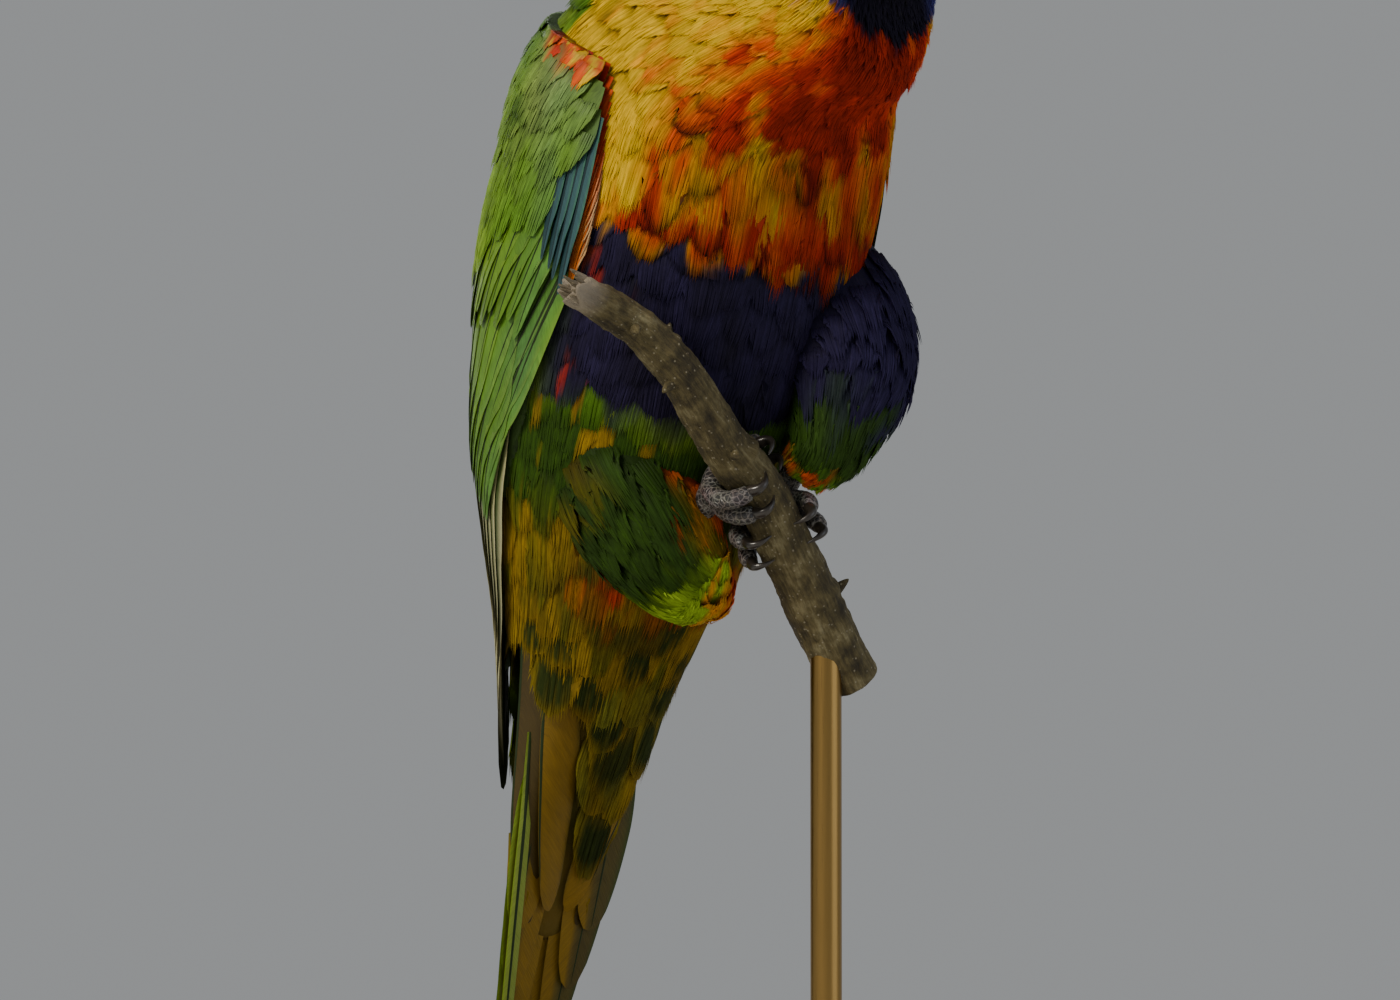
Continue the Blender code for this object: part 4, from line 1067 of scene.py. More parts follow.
def make_undertail(sheet, draws):
    """Long webs of the outer tail feathers, which show on both sides of the coverts."""
    rows = []
    for turn in SIDES:
        for root, root_angle, tip, tip_angle, width, tint in UNDERTAIL_WEBS:
            begin = FACE_STATION - root, trunk_column(sheet, root, turn * root_angle)
            end = FACE_STATION - tip, trunk_column(sheet, tip, turn * tip_angle)
            rows.append((*begin, *end, width, turn, *DYE[tint]))
    row, column, tip_row, tip_column, width, turn, *colour = np.array(rows).T
    colour = np.stack(colour, axis=-1)
    tract = fill_tract(
        row=row, column=column, tip_row=tip_row, tip_column=tip_column, length=tip_row - row,
        width=width, lift=-0.7, tip_lift=0.1, camber=0.2, round=0.1, point=0.4,
        ragged=0.003, tilt=-0.35 * turn, shaft=0.92 * turn, rim=0.5, mirror=turn,
        root_colour=colour * 0.8, tip_colour=colour, rim_colour="green_deep",
        inner_colour=colour,
    )
    lay_feathers(
        "undertail_webs", sheet, tract, (10, 26), "flight_feather", draws, columns=4, shafts="green_deep"
    )


def inside_trunk(points, margin):
    """Tells which points lie within the body, away from its surface by the margin."""
    offset = points - PIVOT
    along = offset @ UP_BODY
    centre, half_width, front, back = np.moveaxis(curves(BODY_SECTIONS, along), -1, 0)
    left = np.abs(offset @ LEFT) / np.maximum(half_width - margin, 1.0)
    ahead = offset @ FRONT - centre
    reach = np.abs(ahead) / np.maximum(np.where(ahead > 0, front, back) - margin, 1.0)
    span = (along > BODY_SECTIONS[0][0]) & (along < BODY_SECTIONS[-1][0] + 10)
    return (left ** SECTION_POWER + reach ** SECTION_POWER < 1) & span


def row_marks(sheet, row, across, least, odd, sway, draws):
    """Columns of the feathers in one row; every second row begins half a feather on."""
    count = max(int(round(sheet.column_size[int(row)].sum() / across)), least)
    return (np.arange(count) + 0.5 * odd + draws.uniform(-sway, sway, count)) / count * sheet.shape[1]


def trunk_rows(sheet, draws):
    """Place, length, width, coat's depth and loose barbs of each feather on the trunk."""
    pieces = []
    station = FACE_STATION - 0.6
    odd = False
    while station > TRUNK_START + 12:
        along, across, length, width, depth, fray = curves(TRUNK_TRACT, station)
        row = FACE_STATION - station
        marks = row_marks(sheet, row, across, 8, odd, 0.2, draws)
        count = len(marks)
        pieces.append(np.stack([
            row + draws.uniform(-0.3, 0.3, count) * along, marks, length * draws.uniform(0.88, 1.12, count),
            width * draws.uniform(0.88, 1.1, count), np.full(count, depth), np.full(count, fray),
        ]))
        station -= along
        odd = not odd
    row, *others = np.concatenate(pieces, axis=1)
    return np.clip(row, 0.1, sheet.shape[0] - 4.0), *others


def trunk_tract(sheet, draws):
    """Rows of feathers over head, neck and body, staggered like tiles."""
    row, column, length, width, depth, fray = trunk_rows(sheet, draws)
    count = len(row)
    station = FACE_STATION - row
    angle = trunk_angle(sheet, row, column)
    side = np.abs(angle)
    step = sheet.read(sheet.row_size, row, column)
    head = ramp(station - bib_edge(side), 0.0, 2.5)
    nape = ramp(station, NAPE_FROM, 140)
    covert = fall(station, -10, -4) * (side < COVERT_SIDE)
    loose = draws.uniform(0, 1, count) ** 7
    # painted shade: about a fifth of the feathers in the middle of the breast get dark tips, to show the
    # shaded crescents between rows
    crescent_shade = (draws.uniform(0, 1, count) < 0.22) * ramp(station, 60, 68) * fall(station, 104, 112)
    crescent_shade = crescent_shade * fall(side, 44, 60)
    streak = 0.45 * head * ramp(side, 30, 90) * draws.uniform(0.2, 1, count)
    tract = fill_tract(
        row=row, column=column, tip_row=np.minimum(row + length / step, sheet.shape[0] - 1.2),
        tip_column=column + draws.uniform(-0.9, 0.9, count) * width / 9,
        length=length, width=width, lift=-0.82 * depth, tip_lift=0.02 * depth,
        curl=0.15 * depth * draws.uniform(0, 1, count) + 0.5 * loose * depth,
        camber=width * 0.045, round=0.4, point=0.1 + 0.5 * nape, ragged=0.035,
        fray=fray, keel=0.12, strand=0.16 + 0.034 * width,
        streak=streak, streak_colour="blue_pale",
        # roots darkened: partly darker bases, partly painted shade in the gaps between rows
        dark_root=0.45 - 0.2 * head, shade=draws.uniform(0.88, 1.1, count),
        # darker tips below the neck: partly the feathers' darker edges, partly painted shade of the crescents
        # between rows
        dark_tip=0.25 * draws.uniform(0, 1, count) ** 2 * (station < 100) + 0.75 * crescent_shade,
        spot=covert * ramp(draws.uniform(0, 1, count), 0.25, 0.4), spot_colour="spot",
    )
    return tract, station, angle, sheet.place(row, column, np.zeros(count))


def eye_frame(turn):
    """Centre of one eyeball, and the way it looks."""
    gaze, left, _ = head_axes()
    return head_point(EYE_FORWARD, turn * EYE_OUT, -EYE_UP), unit(left * turn + gaze * 0.18)


def clear_of_face(points):
    """Tells which feathers have their roots outside the rings of bare skin round the eyes."""
    wanted = np.ones(len(points), bool)
    gaze = head_axes()[0]
    for turn in SIDES:
        eye, look = eye_frame(turn)
        offset = points - eye
        depth = offset @ look
        reach = np.linalg.norm(offset - depth[:, None] * look, axis=1)
        wanted &= (depth < 0) | (reach > EYE_RADIUS + 1.1 * ramp(offset @ gaze, 0, 5))
    return wanted


def add(tree, kind, settings=None, links=None, stops=(), output=None):
    """Adds a node with its settings, links and colour stops, and gives one output, or the first in use."""
    node = tree.nodes.new("ShaderNode" + kind)
    for name, value in (settings or {}).items():
        if isinstance(name, int) or name in node.inputs:
            node.inputs[name].default_value = value
        else:
            setattr(node, name, value)
    for name, source in (links or {}).items():
        tree.links.new(source, node.inputs[name])
    for index, (place, text) in enumerate(stops):
        elements = node.color_ramp.elements
        stop = elements[index] if index < len(elements) else elements.new(place)
        stop.position = place
        stop.color = opaque(text)
    if output:
        return node.outputs[output]
    return next(socket for socket in node.outputs if socket.enabled)


def opaque(text):
    """Colour socket's value of an sRGB hex value."""
    return (*hex_colour(text), 1.0)


def plain_material(name):
    """New material and its node tree, which holds the shader alone."""
    material = bpy.data.materials.new(name)
    material.use_nodes = True
    return material, material.node_tree


def finish(material, links, values):
    """Links patterns to the shader's sockets and sets its constant ones."""
    tree = material.node_tree
    shader = tree.nodes["Principled BSDF"]
    for name, source in links.items():
        tree.links.new(source, shader.inputs[name])
    for name, value in values.items():
        shader.inputs[name].default_value = value
    return material


def position(tree, per_metre, stretch=None):
    """Place in space, scaled by a pattern's number of grains in a metre, and stretched."""
    place = add(tree, "TexCoord", output="Object")
    place = add(tree, "VectorMath", {"operation": "SCALE", "Scale": per_metre}, {0: place})
    if stretch:
        place = add(tree, "VectorMath", {"operation": "MULTIPLY", 1: Vector(stretch)}, {0: place})
    return place


def plumage_material(name, barb_spacing, streaks, roughness, gloss):
    """Keratin barbs of a feather, which give fine streaks and a soft silky sheen."""
    material, tree = plain_material(name)
    colour = add(tree, "Attribute", {"attribute_name": "plumage"})
    barbs = add(tree, "UVMap", {"uv_map": "Barbs"})
    scale = Vector((1 / barb_spacing, 1 / (barb_spacing * 9), 1.0))
    stretch = add(tree, "VectorMath", {"operation": "MULTIPLY", 1: scale}, {0: barbs})
    strands, clumps = (
        add(tree, "TexNoise", {"Scale": size, "Detail": 2.0, "Roughness": rough}, {"Vector": stretch})
        for size, rough in ((1.0, 0.6), (0.22, 0.5))
    )
    both = add(tree, "Math", {"operation": "MULTIPLY_ADD", 1: 0.45}, {0: clumps, 2: strands})
    shade = add(
        tree, "MapRange",
        {"From Min": 0.45, "From Max": 1.0, "To Min": 1.0 - streaks, "To Max": 1.0 + streaks * 0.75},
        {"Value": both},
    )
    tinted = add(tree, "VectorMath", {"operation": "SCALE"}, {0: colour, "Scale": shade})
    bump = add(tree, "Bump", {"Strength": 0.55, "Distance": 0.12 * MM}, {"Height": strands})
    return finish(
        material, {"Base Color": tinted, "Normal": bump},
        {"Roughness": roughness, "IOR": KERATIN_IOR, "Specular IOR Level": gloss},
    )


def spaced(first, last, count, power=1.0):
    """Values from first to last, evenly spaced or, by the power, denser at the first."""
    return first + (last - first) * (np.arange(count) / max(count - 1, 1)) ** power


def wing_front(along):
    """Angle of the folded wing's front edge at places along the body."""
    return curves(WING_EDGE_FRONT, along)[..., 0]


def paint_wing(sheet, row, column):
    """Greens of the folded wing: a painted sheen of pale greyish green above, yellower below, with a bright
    shoulder patch.
    """
    points = sheet.read(sheet.points, row, column)
    along = WING_TOP - row
    edge = WING_SIDE_START + column - wing_front(along)
    wide, fine, small = ripples(points, (26, 31), (8, 32), (3.0, 33))
    colour = mix("green", "leaf", ramp(edge + 8 * wide, 15, 75) * 0.8)
    # painted sheen: the upper wing near its front edge is lightened toward a pale greyish green
    sheen_share = ramp(along + 8 * fine, 46, 84) * fall(edge, 24, 54)
    colour = mix(colour, "green_sheen", sheen_share * whole(0.6 + 0.3 * wide))
    colour = mix(colour, "green_blue", fall(edge, 4, 24) * whole(0.3 + 0.25 * fine))
    colour = mix(colour, "green_dark", whole(0.12 + 0.2 * small + 0.15 * fine))
    mantle = mix("green", "green_dark", whole(0.45 + 0.25 * fine + 0.1 * small))
    colour = mix(colour, mantle, ramp(along + 5 * fine + 3 * small, 58, 82) * ramp(edge + 4 * fine, 12, 34))
    ember = mix("red", "orange", ramp(fine, -0.6, 0.2))
    ember = mix(ember, "yellow", ramp(small + fine, 0.3, 0.9))
    return mix(colour, ember, ramp(along + fine, 78, 80) * fall(edge + 3 * fine, 12, 17))


def wing_tier(roots, tips, widths, lifts, draws, **form):
    """One tier of wing feathers from their roots' and tips' places and angles."""
    root_along, root_angle = roots
    tip_along, tip_angle = tips
    count = len(root_along)
    tip_row = WING_TOP - (tip_along + draws.uniform(-0.8, 0.8, count))
    tract = {
        "row": WING_TOP - root_along, "column": root_angle - WING_SIDE_START, "tip_row": tip_row,
        "tip_column": tip_angle + draws.uniform(-0.5, 0.5, count) - WING_SIDE_START,
        "length": np.abs(tip_row - WING_TOP + root_along), "width": np.broadcast_to(widths, (count,)) * 1.0,
        "lift": lifts[0], "tip_lift": lifts[1], "shade": draws.uniform(0.86, 1.12, count),
        "rim_colour": "green_pale", "inner_colour": "green_dark",
    }
    return fill_tract(**(tract | form))


def long_tier(tier, draws):
    """One tier of the wing's long feathers, spaced from its front edge to its back."""
    count = tier["count"]
    root_bunch, tip_bunch = tier.get("bunch", (1.0, 1.0))
    stagger = tier.get("stagger", 0.0) * (np.arange(count) % 2)
    return wing_tier(
        (spaced(*tier["root"], count), spaced(*tier["root_angle"], count, root_bunch)),
        (spaced(*tier["tip"], count) + stagger, spaced(*tier["tip_angle"], count, tip_bunch)),
        tier["width"], tier["lifts"], draws, **tier["form"],
    )


def covert_tiers(draws):
    """Rows of small coverts, each from the front edge of the wing to the back."""
    tiers = []
    for index, (tip_place, drop, count, width, length, *lifts) in enumerate(COVERT_ROWS):
        high = tip_place > COVERT_START_CHANGE
        start = float(wing_front(tip_place)) + (COVERT_START_HIGH if high else COVERT_START_LOW)
        angles = spaced(start, WING_BACK, count) + 0.5 * (index % 2) * (WING_BACK - start) / count
        angles = angles + draws.uniform(-1.2, 1.2, count)
        tips = tip_place - drop * ramp(angles - start, 0, 55) + draws.uniform(-2.4, 2.4, count)
        tiers.append(wing_tier(
            (tips + length, angles - 2.0), (tips, angles), width, lifts, draws, tilt=0.12, round=0.45,
            # roots darkened: partly darker bases, partly painted shade in the gaps between rows
            ragged=0.02, camber=0.3, fray=1.2, dark_root=0.35, strand=0.55,
        ))
    return join_tracts(tiers)


def front_strip(draws):
    """Bright strip of the underwing that shows along the front edge."""
    count, first, last = STRIP
    places = spaced(first, last, count)
    front = wing_front(places)
    low = fall(places, 58, 70)
    ember = mix("red", "orange", ramp(draws.uniform(0, 1, count), 0.3, 1.0))
    return wing_tier(
        (places + 6, front - 0.5 - 0.8 * low), (places - 9, front - 0.8 - 1.6 * low), 2.6 + 2.0 * low,
        (0.6, 1.8), draws, tilt=0.4, rim=0.5 * low, rim_colour="cream", round=0.3, point=0.5,
        ragged=0.02, camber=0.2, fray=0.8, strand=0.4, root_colour=ember * 0.8,
        tip_colour=mix(ember, "gold", low * 0.45), inner_colour=ember,
    )


# Tiers of the wing's long feathers: how many, place and angle of the first and the
# last at root and tip, width, lift at root and tip, and the form of each feather
PRIMARIES = dict(
    count=10, root=(30, 12), root_angle=(80, 122), tip=(-62, -18), tip_angle=(127, 148),
    width=9.0, lifts=(1.0, 2.0),
    form=dict(
        tilt=0.75, shaft=-0.45, rim=0.9, inner=0.85, point=0.55, round=0.25,
        ragged=0.004, camber=0.2, rim_colour="cream", inner_colour="black",
        root_colour="green_dark", tip_colour="dusk",
    ),
)
SECONDARIES = [
    dict(
        count=13, root=(48, 40), root_angle=(73, 160), tip=(-9, 8), tip_angle=(98, 166),
        bunch=(1.6, 1.35), width=11.0, lifts=(1.4, 2.5),
        form=dict(tilt=0.4, shaft=-0.3, rim=0.18, inner=0.45, point=0.45, round=0.3, ragged=0.006),
    ),
    dict(
        count=15, root=(72, 62), root_angle=(76, 162), tip=(30, 20), tip_angle=(86, 165),
        bunch=(1.3, 1.2), stagger=3, width=10.0, lifts=(1.8, 2.7),
        form=dict(tilt=0.32, shaft=-0.2, rim=0.12, inner=0.35, point=0.4, round=0.35, ragged=0.008),
    ),
]
BLUE_COVERTS = dict(
    count=4, root=(76, 72), root_angle=(74, 83), tip=(42, 46), tip_angle=(71, 80),
    width=4.6, lifts=(2.3, 3.2),
    form=dict(
        tilt=0.5, shaft=-0.2, rim=0.4, inner=0.6, point=0.35, round=0.3, ragged=0.008,
        inner_colour="teal_dark", root_colour="teal", tip_colour="teal",
        rim_colour="green_blue",
    ),
)


def make_wing(turn, draws):
    """Folded wing: flight feathers like blinds, and tiers of coverts over them."""
    sheet = make_wing_sheet(turn)
    primaries = long_tier(PRIMARIES, draws)
    secondaries = join_tracts([long_tier(tier, draws) for tier in SECONDARIES])
    blue_coverts = long_tier(BLUE_COVERTS, draws)
    for name, tract, grid, columns, paint, shafts in (
        ("primaries", primaries, (8, 24), 5, None, "black"),
        ("secondaries", secondaries, (8, 22), 9, paint_wing, "green_deep"),
        ("blue_coverts", blue_coverts, (6, 16), 3, None, "teal_dark"),
    ):
        lay_feathers(
            "wing_%s_%s" % (name, SIDES[turn]), sheet, tract, grid, "flight_feather", draws,
            columns=columns, paint=paint, shafts=shafts,
        )
    for name, make_tract, grid, paint, strands in (
        ("coverts", covert_tiers, (6, 5), paint_wing, 16), ("front_strip", front_strip, (6, 6), None, 7),
    ):
        lay_feathers(
            "wing_%s_%s" % (name, SIDES[turn]), sheet, make_tract(draws), grid, "covert_feather", draws,
            paint=paint, strands=strands,
        )


def tail_rows():
    """Tip's row, columns of root and tip, lift and side of each tail feather, the edging last."""
    rows = []
    middle = len(TAIL_TIPS) / 2
    for pair, tip in enumerate(TAIL_TIPS):
        for turn in SIDES:
            layer = (pair + 1 - middle) * TAIL_LAYER
            if pair == 0 and turn > 0:
                layer -= TAIL_LAYER
            edge = float(curves(TAIL_WIDTHS, tip)[0])
            start = TAIL_HALF_ROOT - 0.7 * (len(TAIL_TIPS) - 1 - pair) - 5.4 if pair else 1.2
            end = max(edge - 3.2, 0.8) if pair else 0.2
            rows.append((TAIL_TOP - tip, TAIL_HALF + turn * start, TAIL_HALF + turn * end, layer, turn))
    tip, root_left, tip_left, lift, _ = TAIL_EDGING
    rows.append((TAIL_TOP - tip, TAIL_HALF + root_left, TAIL_HALF + tip_left, lift, -1))
    return np.array(rows).T


def make_tail(draws):
    """Graduated fan of twelve tail feathers: yellowish webs beneath, green above."""
    tip_row, column, tip_column, lift, turn = tail_rows()
    count = len(turn)
    edging = np.arange(count) >= 2 * len(TAIL_TIPS)
    outer = mix("tail_brown", "olive", draws.uniform(0.1, 0.5, count))
    outer = np.where(edging[:, None], DYE["green_pale"] * 0.75, outer)
    inner = mix("tail_yellow", "vent_yellow_shaded", draws.uniform(0.2, 0.7, count))
    tract = fill_tract(
        row=TAIL_ROOT_ROW, column=column, tip_row=tip_row, tip_column=tip_column,
        width=np.where(edging, TAIL_EDGING[-1], TAIL_VANE), lift=lift, tip_lift=lift,
        length=tip_row - TAIL_ROOT_ROW, camber=0.18, round=0.1, point=0.42, base=0.6,
        ragged=0.003, mirror=-turn, shaft=0.12 * turn, root_colour=outer, tip_colour=outer,
        inner=np.where(edging, 0.0, 1.0), inner_colour=inner, rim=0.9,
        # painted light: rims of the bird's right tail feathers are bright leaf green and those of its left
        # dark green, as a lit and a shaded side
        rim_colour=np.where(turn[:, None] < 0, DYE["leaf"], DYE["green_dark"]),
        under_colour=np.tile(DYE["green"], (count, 1)),
    )
    lay_feathers(
        "tail_feathers", make_tail_sheet(), tract, (10, 30), "flight_feather", draws, columns=6,
        shafts="green_deep",
    )


def paint_thigh(turn):
    """Colours of one thigh by its place: navy or dark green, with a bright tuft at the shank."""
    def paint(sheet, row, column):
        points = sheet.read(sheet.points, row, column)
        offset = points - PIVOT
        along = offset @ UP_BODY
        left = offset @ LEFT
        share = row / sheet.shape[0]
        wide, fine, small = ripples(points, (22, 22), (9, 21), (3.4, 23))
        colour = mix("green_deep", "green_dark", whole(0.6 + 0.3 * wide + 0.2 * small))
        glow = mix("vent_yellow_shaded", "orange", ramp(wide + 0.5 * small, -0.2, 0.7))
        hind = fall(left + 2 * wide, -26, -20) * ramp(fine + 0.4 * small, -0.1, 0.6)
        colour = mix(colour, mix("vent_yellow_shaded", glow, 0.3), hind * 0.3)
        if turn > 0:
            colour = mix("navy", colour, ramp(share + 0.1 * fine, 0.56, 0.76))
            tuft = mix("green", "orange", ramp(fine + 0.4 * small, 0.0, 0.7))
            return mix(colour, tuft, ramp(share, 0.78, 0.9))
        near_perch = ramp(left + 2 * fine, -12, -5) * ramp(along + 2 * fine, -4, 4)
        colour = mix(colour, mix("vent_yellow_shaded", "orange", ramp(fine, -0.3, 0.5)), near_perch * 0.85)
        tuft = mix("leaf", "gold", ramp(left + 2 * small, 0.0, 2.5))
        tuft = mix(tuft, "orange", ramp(left + 2 * small, 2.5, 5.0))
        below = ramp(left + 2 * fine + small, -14, -9) * ramp(share + 0.05 * fine, 0.56, 0.68)
        return mix(colour, tuft, below)
    return paint


def thigh_rows(sheet, draws):
    """Row, column, length and width of each feather on a thigh."""
    pieces = []
    row = 1.0
    odd = False
    while row < sheet.shape[0] - 4:
        share = row / sheet.shape[0]
        marks = row_marks(sheet, row, 5.4 - 3.6 * share, 6, odd, 0.25, draws)
        count = len(marks)
        pieces.append(np.stack([
            row + draws.uniform(-0.6, 0.6, count), marks,
            (14.0 - 7.5 * share) * draws.uniform(0.85, 1.15, count), np.full(count, 9.0 - 6.0 * share),
        ]))
        row += (4.6 - 2.6 * share) / sheet.row_size[int(row)].mean()
        odd = not odd
    return np.concatenate(pieces, axis=1)


def make_leg(turn, draws):
    """Loose feathers of one thigh, which close round the shank."""
    sheet = make_leg_sheet(turn)
    row, column, length, width = thigh_rows(sheet, draws)
    count = len(row)
    step = sheet.read(sheet.row_size, row, column)
    share = row / sheet.shape[0]
    tract = fill_tract(
        row=row, column=column, tip_row=np.minimum(row + length / step, sheet.shape[0] - 1.2),
        tip_column=column + draws.uniform(-1, 1, count), length=length, width=width,
        lift=-1.5 + 0.5 * share, tip_lift=0.1 + 0.4 * draws.uniform(0, 1, count),
        curl=0.5 * draws.uniform(0, 1, count) ** 3, camber=0.35, round=0.5, point=0.3,
        # roots darkened: partly darker bases, partly painted shade in the gaps between rows
        ragged=0.05, fray=3.0 - 1.2 * share, dark_root=0.5,
        shade=draws.uniform(0.88, 1.12, count), strand=0.62 - 0.15 * share,
    )
    tract = keep(tract, ~inside_trunk(sheet.place(row, column, np.zeros(count)), 2.0))
    lay_feathers(
        "thigh_feathers_" + SIDES[turn], sheet, tract, (6, 5), "contour_feather", draws,
        paint=paint_thigh(turn), strands=18,
    )


def ring_solid(rings, loop=False):
    """Points and triangles of a closed solid through rings; a loop's last ring meets its first."""
    rows, count = rings.shape[:2]
    points = rings.reshape(-1, 3)
    triangles = []
    for i in range(rows - (not loop)):
        for j in range(count):
            a, b = i * count + j, i * count + (j + 1) % count
            c, d = (b + count) % len(points), (a + count) % len(points)
            triangles += [(a, b, c), (a, c, d)]
    if loop:
        return points, np.array(triangles)
    ends = np.stack([rings[0].mean(0), rings[-1].mean(0)])
    first = len(points)
    last = (rows - 1) * count
    for j in range(count):
        after = (j + 1) % count
        triangles += [(first, after, j), (first + 1, last + j, last + after)]
    return np.concatenate([points, ends]), np.array(triangles)


def outward_solid(rings, loop=False):
    """Closed solid through the rings, with its faces turned outward."""
    points, triangles = ring_solid(np.asarray(rings), loop)
    corners = points[triangles]
    volume = np.sum(np.cross(corners[:, 0], corners[:, 1]) * corners[:, 2])
    if volume < 0:
        triangles = triangles[:, ::-1]
    return points, triangles


def join_solids(solids):
    """Points and triangles of several solids as one."""
    starts = np.cumsum([0] + [len(points) for points, _ in solids[:-1]])
    faces = [triangles + start for (_, triangles), start in zip(solids, starts)]
    return np.concatenate([points for points, _ in solids]), np.concatenate(faces)


def apply_modifiers(thing):
    """Keeps the mesh that the thing's modifiers make."""
    depsgraph = bpy.context.evaluated_depsgraph_get()
    mesh = bpy.data.meshes.new_from_object(thing.evaluated_get(depsgraph))
    thing.modifiers.clear()
    thing.data = mesh


def fuse(thing, voxel, smoothing):
    """Melts the thing's pieces into one closed surface and smooths it."""
    remesh = thing.modifiers.new("fuse", "REMESH")
    remesh.mode = "VOXEL"
    remesh.voxel_size = voxel * MM
    smooth = thing.modifiers.new("smooth", "SMOOTH")
    smooth.iterations = smoothing
    smooth.factor = 0.5
    apply_modifiers(thing)
    thing.data.polygons.foreach_set("use_smooth", np.full(len(thing.data.polygons), True))


def wing_core(turn):
    """Flat solid under the coverts of one wing, on the flank."""
    along = np.arange(-4.0, 82.0, 4.0)
    front = wing_front(along) + 2.0
    shares = np.linspace(0, 1, 14)
    places = front[:, None] + (WING_CORE_BACK - front[:, None]) * shares[None, :]
    along = along[:, None] + 0 * places
    swell = 0.8 + 1.0 * np.sin(np.pi * shares)[None, :] * ramp(along, -8, 20)
    outer, inner = (body_surface(along, turn * places, lift) for lift in (swell, -3.0))
    return outward_solid(np.concatenate([outer, inner[:, ::-1]], axis=1))


def skin_solids():
    """Solids that melt into the skin: trunk, tail, thighs and wings."""
    stations = np.arange(TRUNK_START, FACE_STATION, 2.0)
    angles = np.arange(0, 360, 6.0)
    depth = curves(SKIN_DEPTH, stations)[:, 0]
    solids = [outward_solid(trunk_surface(stations[:, None], angles[None, :], -depth[:, None]))]
    for turn in SIDES:
        solids.append(outward_solid(leg_rings(turn, 2.0, 32, 30)[0]))
        solids.append(wing_core(turn))
    along, half, thick = TAIL_CORE.T[:, :, None]
    left, reach = superellipse(np.radians(angles)[None, :], half, thick, thick)
    solids.append(outward_solid(body_point(left, along, tail_centre(along) + reach)))
    return join_solids(solids)


def corner_vertices(mesh):
    """Number of the vertex at each corner of the faces."""
    corners = np.empty(len(mesh.loops), np.int32)
    mesh.loops.foreach_get("vertex_index", corners)
    return corners


def make_skin(trunk):
    """One skin under the whole coat, coloured as the plumage over it."""
    replaced = ("torso", "neck", "head", "tail", "wing_left", "wing_right", "leg_left", "leg_right")
    skin = show("skin", skin_solids(), "down_covered_skin", replaced)
    fuse(skin, 1.0, 4)
    spots = np.empty(len(skin.data.vertices) * 3)
    skin.data.vertices.foreach_get("co", spots)
    spots = spots.reshape(-1, 3) / MM
    rows, columns = np.arange(0, trunk.shape[0] - 1, 3), np.arange(0, TRUNK_COLUMNS, 3)
    rows, columns = np.meshgrid(rows, columns, indexing="ij")
    samples = trunk.points[rows, columns].reshape(-1, 3)
    tree = KDTree(len(samples))
    for index, spot in enumerate(samples):
        tree.insert(spot, index)
    tree.balance()
    nearest = np.array([tree.find(spot)[1] for spot in spots])
    painted = paint_trunk(trunk, rows.ravel().astype(float), columns.ravel().astype(float))
    offset = spots - PIVOT
    lifted = ~inside_trunk(spots, -0.4) & (np.abs(offset @ LEFT) > 12) & (offset @ FRONT < 16)
    colours = np.where(lifted[:, None], DYE["green_dark"], painted[nearest] * 0.5)
    paint_corners(skin, colours[corner_vertices(skin.data)])


def skin_material():
    """Thin skin under feathers: matt, with the down's colour over it."""
    material, tree = plain_material("down_covered_skin")
    colour = add(tree, "Attribute", {"attribute_name": "plumage"})
    grain = add(tree, "TexNoise", {"Scale": 1.0, "Detail": 4.0}, {"Vector": position(tree, 900.0)})
    bump = add(tree, "Bump", {"Strength": 0.5, "Distance": 0.3 * MM}, {"Height": grain})
    return finish(material, {"Base Color": colour, "Normal": bump}, {"Roughness": 0.85})


def rotated_frames(points):
    """Direction, side and normal along a path, turning as little as they can."""
    ahead = unit(np.gradient(points, axis=0))
    guess = np.array([0.0, 0.0, 1.0]) if abs(ahead[0, 2]) < 0.9 else np.array([0.0, 1.0, 0.0])
    side = [unit(np.cross(ahead[0], guess))]
    for way in ahead[1:]:
        side.append(unit(side[-1] - way * float(side[-1] @ way)))
    side = np.array(side)
    return ahead, side, np.cross(ahead, side)


def tube_rings(points, radii, count):
    """Rings of a tube; radii is one for all, one for each point, or one for each point and side."""
    _, side, over = rotated_frames(points)
    angles = circle(count)[None, :, None]
    radii = np.asarray(radii, float)
    if radii.ndim < 2:
        radii = np.broadcast_to(radii.reshape(-1, 1), (len(points), count))
    out = side[:, None] * np.cos(angles) + over[:, None] * np.sin(angles)
    return points[:, None] + out * radii[..., None]


def perch_sections(places):
    """Centres and radii of the branch at places along it."""
    rows = [(*(PIVOT + np.array([left, -front, up])), radius) for left, front, up, radius in PERCH_ROUTE]
    values = curves(numbered(rows), places)
    return values[:, :3], values[:, 3]


def perch_frame(place):
    """Centre, way down the branch, way to the bird, upper side, and radius."""
    (here, ahead), (radius, _) = perch_sections([place, place + 0.1])
    down = unit(ahead - here)
    inward = np.array([0.0, 1.0, 0.0])
    inward = unit(inward - down * float(inward @ down))
    return here, down, inward, np.cross(down, inward), float(radius)


def toe_spot(frame_here, angle, along, lift):
    """Places round the branch by angle, way along it and height over the bark."""
    here, down, inward, over, radius = frame_here
    angle, along, lift = scales(angle, along, lift)
    return here + down * along + (inward * np.cos(angle) + over * np.sin(angle)) * (radius + lift)


def palm_spot(turn):
    """Middle of the sole, where the toes and the shank meet."""
    place, palm_angle, *_ = FEET[turn]
    return toe_spot(perch_frame(place), math.radians(palm_angle), 0.0, TOE_RADIUS + SOLE_LIFT)


def toe_reaches(turn):
    """How far each toe reaches round the branch, and its way along it."""
    _, _, over, under, _ = FEET[turn]
    return [(over, -TOE_SPREAD), (over * 0.9, TOE_SPREAD), (under, -TOE_SPREAD), (under * 0.86, TOE_SPREAD)]


